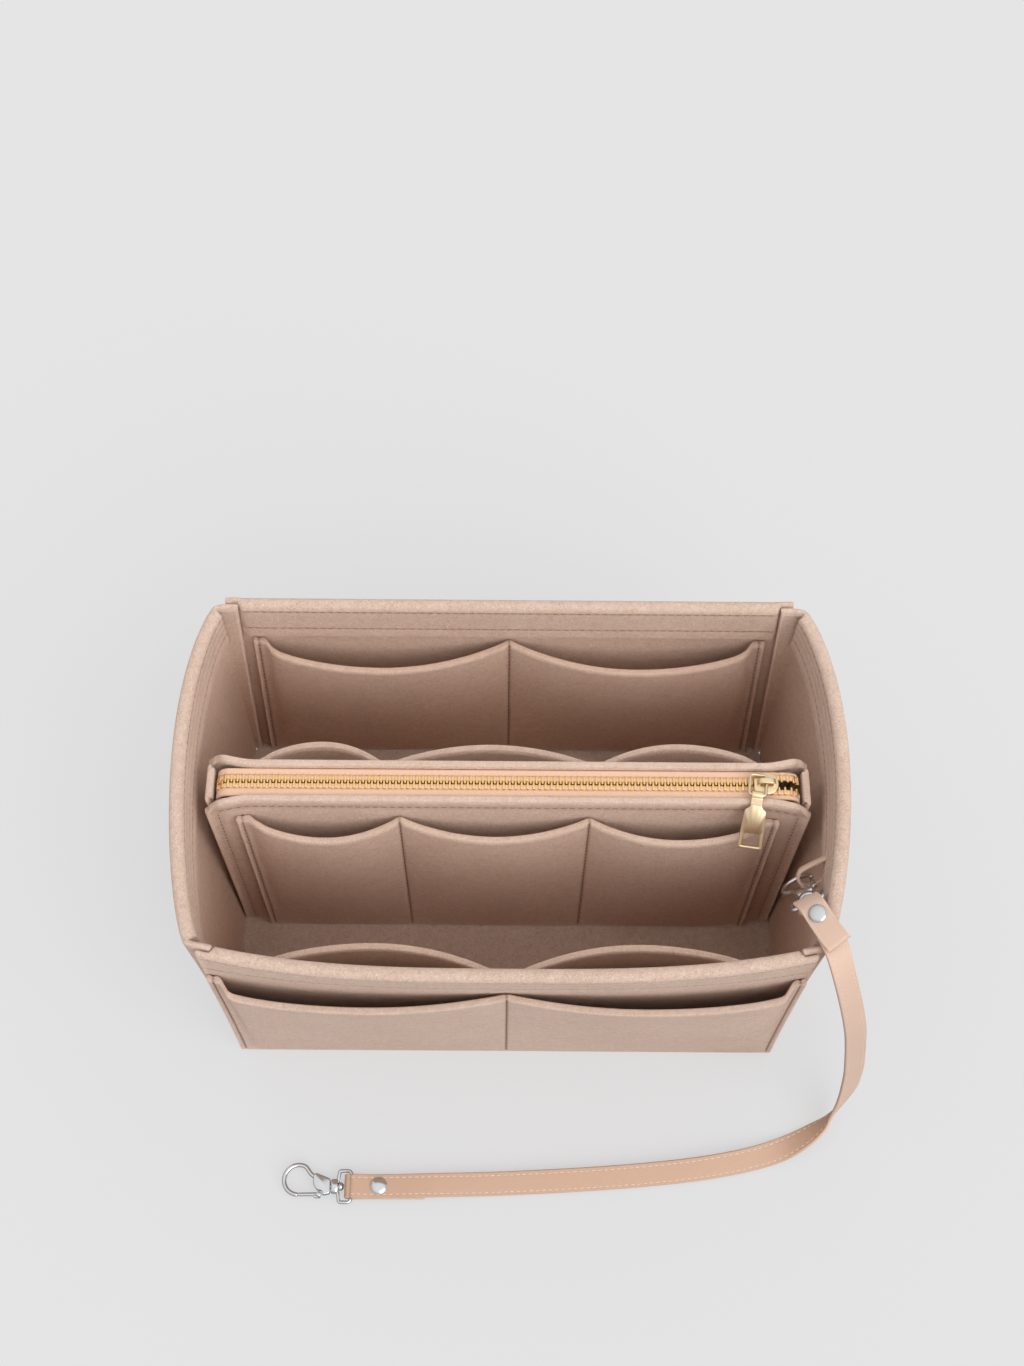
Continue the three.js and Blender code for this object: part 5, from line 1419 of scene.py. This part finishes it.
def woven_tape():
    """Cotton-blend tape in a herringbone of fine ribs along it."""
    material, tree, shader, _ = new_material("woven_zip_tape")
    place = node(tree, "ShaderNodeTexCoord").outputs["Object"]
    ribs = node(tree, "ShaderNodeTexWave", {"Vector": place, "Scale": 1 / 0.0016 / 6.2, "Distortion": 0.6},
                bands_direction="X")
    lines = node(tree, "ShaderNodeTexWave", {"Vector": place, "Scale": 1 / 0.0011 / 6.2, "Distortion": 0.4},
                 bands_direction="Y")
    weave = arithmetic(tree, ribs.outputs["Fac"], lines.outputs["Fac"])
    fuzz = noise(tree, place, 0.0008, 4.0)
    finished(tree, shader, {"Base Color": mix(tree, fuzz, "#D9AE90", "#EBC8AE"), "Roughness": 0.9,
                            "Sheen Weight": 0.2}, arithmetic(tree, weave, fuzz, "ADD"), 0.0002, 0.6)
    return material


tape_cloth = woven_tape()
brass = plated_metal("pressed_brass", "#EBC484", 0.3)


def tape(name, side, face, node_name):
    """The tape beside its teeth, turned down against the panel that it is sewn to."""
    along = np.concatenate([np.linspace(-zip_half, -zip_straight, 12)[:-1],
                            np.linspace(-zip_straight, zip_straight, 200),
                            np.linspace(zip_straight, zip_half, 12)[1:]])
    straight = smooth(zip_straight - np.abs(along), 0, 1.5)
    leg = lerp(tape_thickness, tape_leg, straight)
    inner = side * (cord_outer + seam_gap + parted(along))
    x = np.minimum(np.abs(along), pouch_half - pouch_flare_run)
    sewn = face(x, zip_z + 0 * x) - side * seam_gap - zip_y
    h = tape_thickness / 2
    ring = [(inner, h), (lerp(inner, sewn, 0.33), h), (lerp(inner, sewn, 0.66), h),
            (sewn - side * 0.5, h), (sewn - side * 0.1, h - 0.15), (sewn, h - 0.6), (sewn, -leg),
            (sewn - side * tape_thickness, -leg), (sewn - side * tape_thickness, -h - 0.2),
            (sewn - side * (tape_thickness + 0.2), -h), (lerp(inner, sewn, 0.5), -h), (inner, -h)]
    points = np.stack([on_zip(along, across + 0 * along, up + 0 * along) for across, up in ring], 1)
    piece(name, tube_mesh(points), tape_cloth, "pouch", [node_name])


tape("zip_tape_front", -1, lambda x, z: pouch_front(x, z) + felt, "zip_front_tape")
tape("zip_tape_back", 1, lambda x, z: pouch_back(x, z) - felt, "zip_back_tape")


def tooth_row(name, side, phase, node_name):
    """A row of teeth and its cord. Each tooth: two jaws clamped on the corded edge, a waist and a
    rounded head, put at phase + so many pitches from the zip's middle."""
    count = int(2 * zip_half / tooth_pitch) - 1
    at = (np.arange(count) - (count - 1) / 2 + phase) * tooth_pitch
    outline = rounded_outline([
        [-0.64, cord_outer + 0.1], [-0.66, 1.2], [-0.42, 0.7], [-0.52, -0.1], [-0.22, -0.55], [0.22, -0.55],
        [0.52, -0.1], [0.42, 0.7], [0.66, 1.2], [0.64, cord_outer + 0.1],
    ], 0.3, 3)
    local, local_faces = soft_plate(outline, tooth_height / 2, 0.22)
    along = at[:, None] + local[None, :, 0]
    across = side * (local[None, :, 1] + parted(at)[:, None])
    points = on_zip(along, across, local[None, :, 2] + 0 * along)
    faces = [[i + k * len(local) for i in face] for k in range(count) for face in local_faces]
    piece(name, (points.reshape(-1, 3), faces), brass, "pouch", [node_name])
    cord_line = np.linspace(-zip_half, zip_half, 400)[:, None]
    turn = full_turn(8)
    ring_across = side * (cord_middle + cord_half_width * np.cos(turn) + parted(cord_line))
    ring_up = cord_half_height * np.sin(turn) + 0 * cord_line
    piece(name + "_cord", tube_mesh(on_zip(cord_line + 0 * ring_up, ring_across, ring_up)), tape_cloth,
          "pouch")


tooth_row("zip_teeth_front", -1, -0.25, "zip_front_teeth")
tooth_row("zip_teeth_back", 1, 0.25, "zip_back_teeth")

# Slider and pull.
# Cast zinc in pale champagne plating: two plates over the teeth, a crown on top, a wire link through
# the crown and a flat pull with a window. All edges are bright and slightly rounded.

slider_length, slider_tail, slider_nose = 10.5, 8.0, 10.0
slider_plate, slider_flange = 0.9, 0.65
plate_inner = tooth_height / 2 + 0.2
slider_top = plate_inner + slider_plate
crown_length, crown_height, crown_bar, crown_width = 8.0, 3.4, 1.1, 2.4
link_wire, link_width, link_length = 1.3, 7.0, 9.8
link_tilt, link_turn = math.radians(-7), math.radians(8)
tab_length, tab_width, tab_neck, tab_neck_length = 25.0, 10.6, 4.9, 4.6
tab_thickness, tab_window, tab_rim = 1.3, 6.0, 1.4
tab_lean, tab_neck_lean = math.radians(42), math.radians(86)
clearance = 0.3

champagne = plated_metal("champagne_plated_zinc", "#E2CCA8", 0.32)


def slider_outline():
    """Tail, widening shoulders and a round nose."""
    half, tail, nose = slider_length / 2, slider_tail / 2, slider_nose / 2
    turn = np.radians(np.linspace(-90, 90, 15))
    bow = np.stack([half * np.cos(turn) ** 0.8, nose * np.sin(turn)], 1)
    back = [[-half + 0.9, tail], [-half, tail * 0.75], [-half, -tail * 0.75], [-half + 0.9, -tail]]
    return np.vstack([bow, back])


def slider_body():
    """Two rounded plates, the flanges that hold the corded edges and the dividing post."""
    plate = soft_plate(slider_outline(), slider_plate / 2, 0.3)
    post = soft_plate(rounded_outline([[1.6, 0], [2.9, -0.75], [4.2, 0], [2.9, 0.75]], 0.3, 3),
                      plate_inner + 0.2, 0.05)
    parts = [moved(plate, [0, 0, up * (plate_inner + slider_plate / 2)]) for up in (1, -1)] + [post]
    for side in (-1, 1):
        line = np.array([[-4.6, 3.55], [-2, 4.05], [0, 4.6], [1.6, 4.62]]) * [1, side]
        strip = soft_plate(np.vstack([line, (line - [0, side * slider_flange])[::-1]]), 0.34, 0.12)
        parts += [moved(strip, [0, 0, up * (plate_inner - 0.3)]) for up in (-1, 1)]
    return joined(*parts)


def crown():
    """A low arch along the slider, its section a rounded bar that widens at its feet."""
    half, rise = crown_length / 2 - crown_bar / 2, crown_height - crown_bar / 2
    t = np.linspace(0, math.pi, 25)
    line = np.stack([-half * np.sign(np.cos(t)) * np.abs(np.cos(t)) ** 0.6, 0 * t,
                     rise * np.sin(t) ** 0.62], 1)
    line[[0, -1], 2] = -0.3
    path = curve_through(np.hstack([line, np.tile([0, 1.0, 0], (len(t), 1))]), 0.35)
    return moved(bent_bar(path, crown_width, crown_bar, 0.4, 5), [0, 0, slider_top])


slider_middle = np.array([slider_x, zip_y, zip_z])
piece("slider", moved(joined(slider_body(), crown()), slider_middle), champagne, "zip_slider",
      ["zip_slider"])


def rotation(tilt, turn):
    """Turn about Z after tilt about X."""
    a, b = math.cos(tilt), math.sin(tilt)
    c, d = math.cos(turn), math.sin(turn)
    return np.array([[c, -d, 0], [d, c, 0], [0, 0, 1]]) @ np.array([[1, 0, 0], [0, a, -b], [0, b, a]])


link_pivot = slider_middle + [0, 0, slider_top + crown_height - crown_bar - link_wire / 2 - clearance]
link_axes = rotation(link_tilt, -link_turn)
link_back = crown_width / 2 + link_wire + clearance
link_front = link_back - link_length


def pull_link():
    """A closed rectangle of wire with round corners."""
    r = link_wire
    loop = np.vstack([
        arc((-r, link_back - r), r, 0, 90, 8), arc((-link_width + r, link_back - r), r, 90, 180, 8),
        arc((-link_width + r, link_front + r), r, 180, 270, 8), arc((-r, link_front + r), r, 270, 360, 8),
    ])
    return wire(loop, link_wire / 2, closed=True)


piece("pull_wire", placed(pull_link(), (link_pivot, link_axes.T)), champagne, "pull_link",
      ["pull_link"])


def pull_plate():
    """The flat part of the pull: an outer outline and a window joined by rounded rims."""
    half, neck, length = tab_width / 2, tab_neck / 2, tab_length - tab_neck_length
    outer = rounded_outline([
        [-neck, -0.4], [neck, -0.4], [neck + 0.1, 0.9], [half - 0.7, 2.4], [half, length], [-half, length],
        [-half + 0.7, 2.4], [-neck - 0.1, 0.9],
    ], 0.7, 6)
    top = length - tab_rim
    sill = top - tab_window
    hole = rounded_outline([
        [-half + 2.2, sill], [half - 2.2, sill], [half - 1.5, top], [-half + 1.5, top],
    ], 0.6, 12)
    middle = np.array([0, top - tab_window / 2])

    def ring(outline):
        """The outline met by rays from the window's middle, so that both outlines pair up."""
        turn = full_turn(160)
        closed = np.vstack([outline, outline[:1]])
        rays_xy = np.stack([np.cos(turn), np.sin(turn)], 1)
        a, b = closed[:-1] - middle, closed[1:] - middle
        edge = b - a
        cross = rays_xy[:, None, 0] * edge[None, :, 1] - rays_xy[:, None, 1] * edge[None, :, 0]
        cross = np.where(np.abs(cross) < 1e-9, 1e-9, cross)
        t = (a[None, :, 0] * edge[None, :, 1] - a[None, :, 1] * edge[None, :, 0]) / cross
        u = (a[None, :, 0] * rays_xy[:, None, 1] - a[None, :, 1] * rays_xy[:, None, 0]) / cross
        hit = np.where((t > 0) & (u >= -1e-6) & (u <= 1 + 1e-6), t, 0)
        return middle + rays_xy * hit.max(1)[:, None]

    h, e = tab_thickness / 2, 0.3

    def rim(line, inward):
        """Three rings up a rounded edge, going towards the window's middle or away from it."""
        steps = ((0, h - e), (e * 0.3, h - e * 0.3), (e, h))
        return [(line + unit(middle - line) * inward * d, z) for d, z in steps]

    upper = rim(ring(hole), -1) + rim(ring(outer), 1)[::-1]
    rings = upper + [(line, -z) for line, z in upper[::-1]]
    points = np.stack([np.hstack([line, np.full((len(line), 1), z)]) for line, z in rings], 1)
    return points.reshape(-1, 3), grid_faces(points.shape[0], points.shape[1], closed_rows=True).tolist()


def pull_tab():
    """Plate, cranked neck and rolled eye; out is towards the front and down is downwards."""
    plate_points, plate_faces = pull_plate()
    out, down = -math.sin(tab_lean), -math.cos(tab_lean)
    neck_end = tab_neck_length * np.array([0, -math.sin(tab_neck_lean), -math.cos(tab_neck_lean)])
    placed_plate = np.stack([
        plate_points[:, 0],
        plate_points[:, 1] * out + plate_points[:, 2] * down,
        plate_points[:, 1] * down - plate_points[:, 2] * out,
    ], 1) + neck_end
    eye = link_wire / 2 + clearance + tab_thickness * 0.3
    turn = np.radians(np.linspace(-235, 60, 26))
    roll = np.stack([0 * turn, eye * np.cos(turn + math.pi / 2), eye * np.sin(turn + math.pi / 2)], 1)
    stem = np.linspace([0, -eye, 0.1], neck_end, 8)
    knee = neck_end + np.array([0, out, down]) * 1.5
    line = np.vstack([roll[(roll[:, 1] > -eye * 0.8) | (roll[:, 2] > 0)], stem[1:], [knee]])
    path = curve_through(np.hstack([line, np.tile([1.0, 0, 0], (len(line), 1))]), 0.4)
    return joined((placed_plate, plate_faces), bent_bar(path, tab_neck, tab_thickness * 0.6, 0.25, 4))


tab_pivot = link_axes @ np.array([-link_width / 2, link_front, 0]) + link_pivot
piece("pull", placed(pull_tab(), (tab_pivot, rotation(0, -link_turn).T)), champagne, "pull_tab",
      ["pull_tab"])
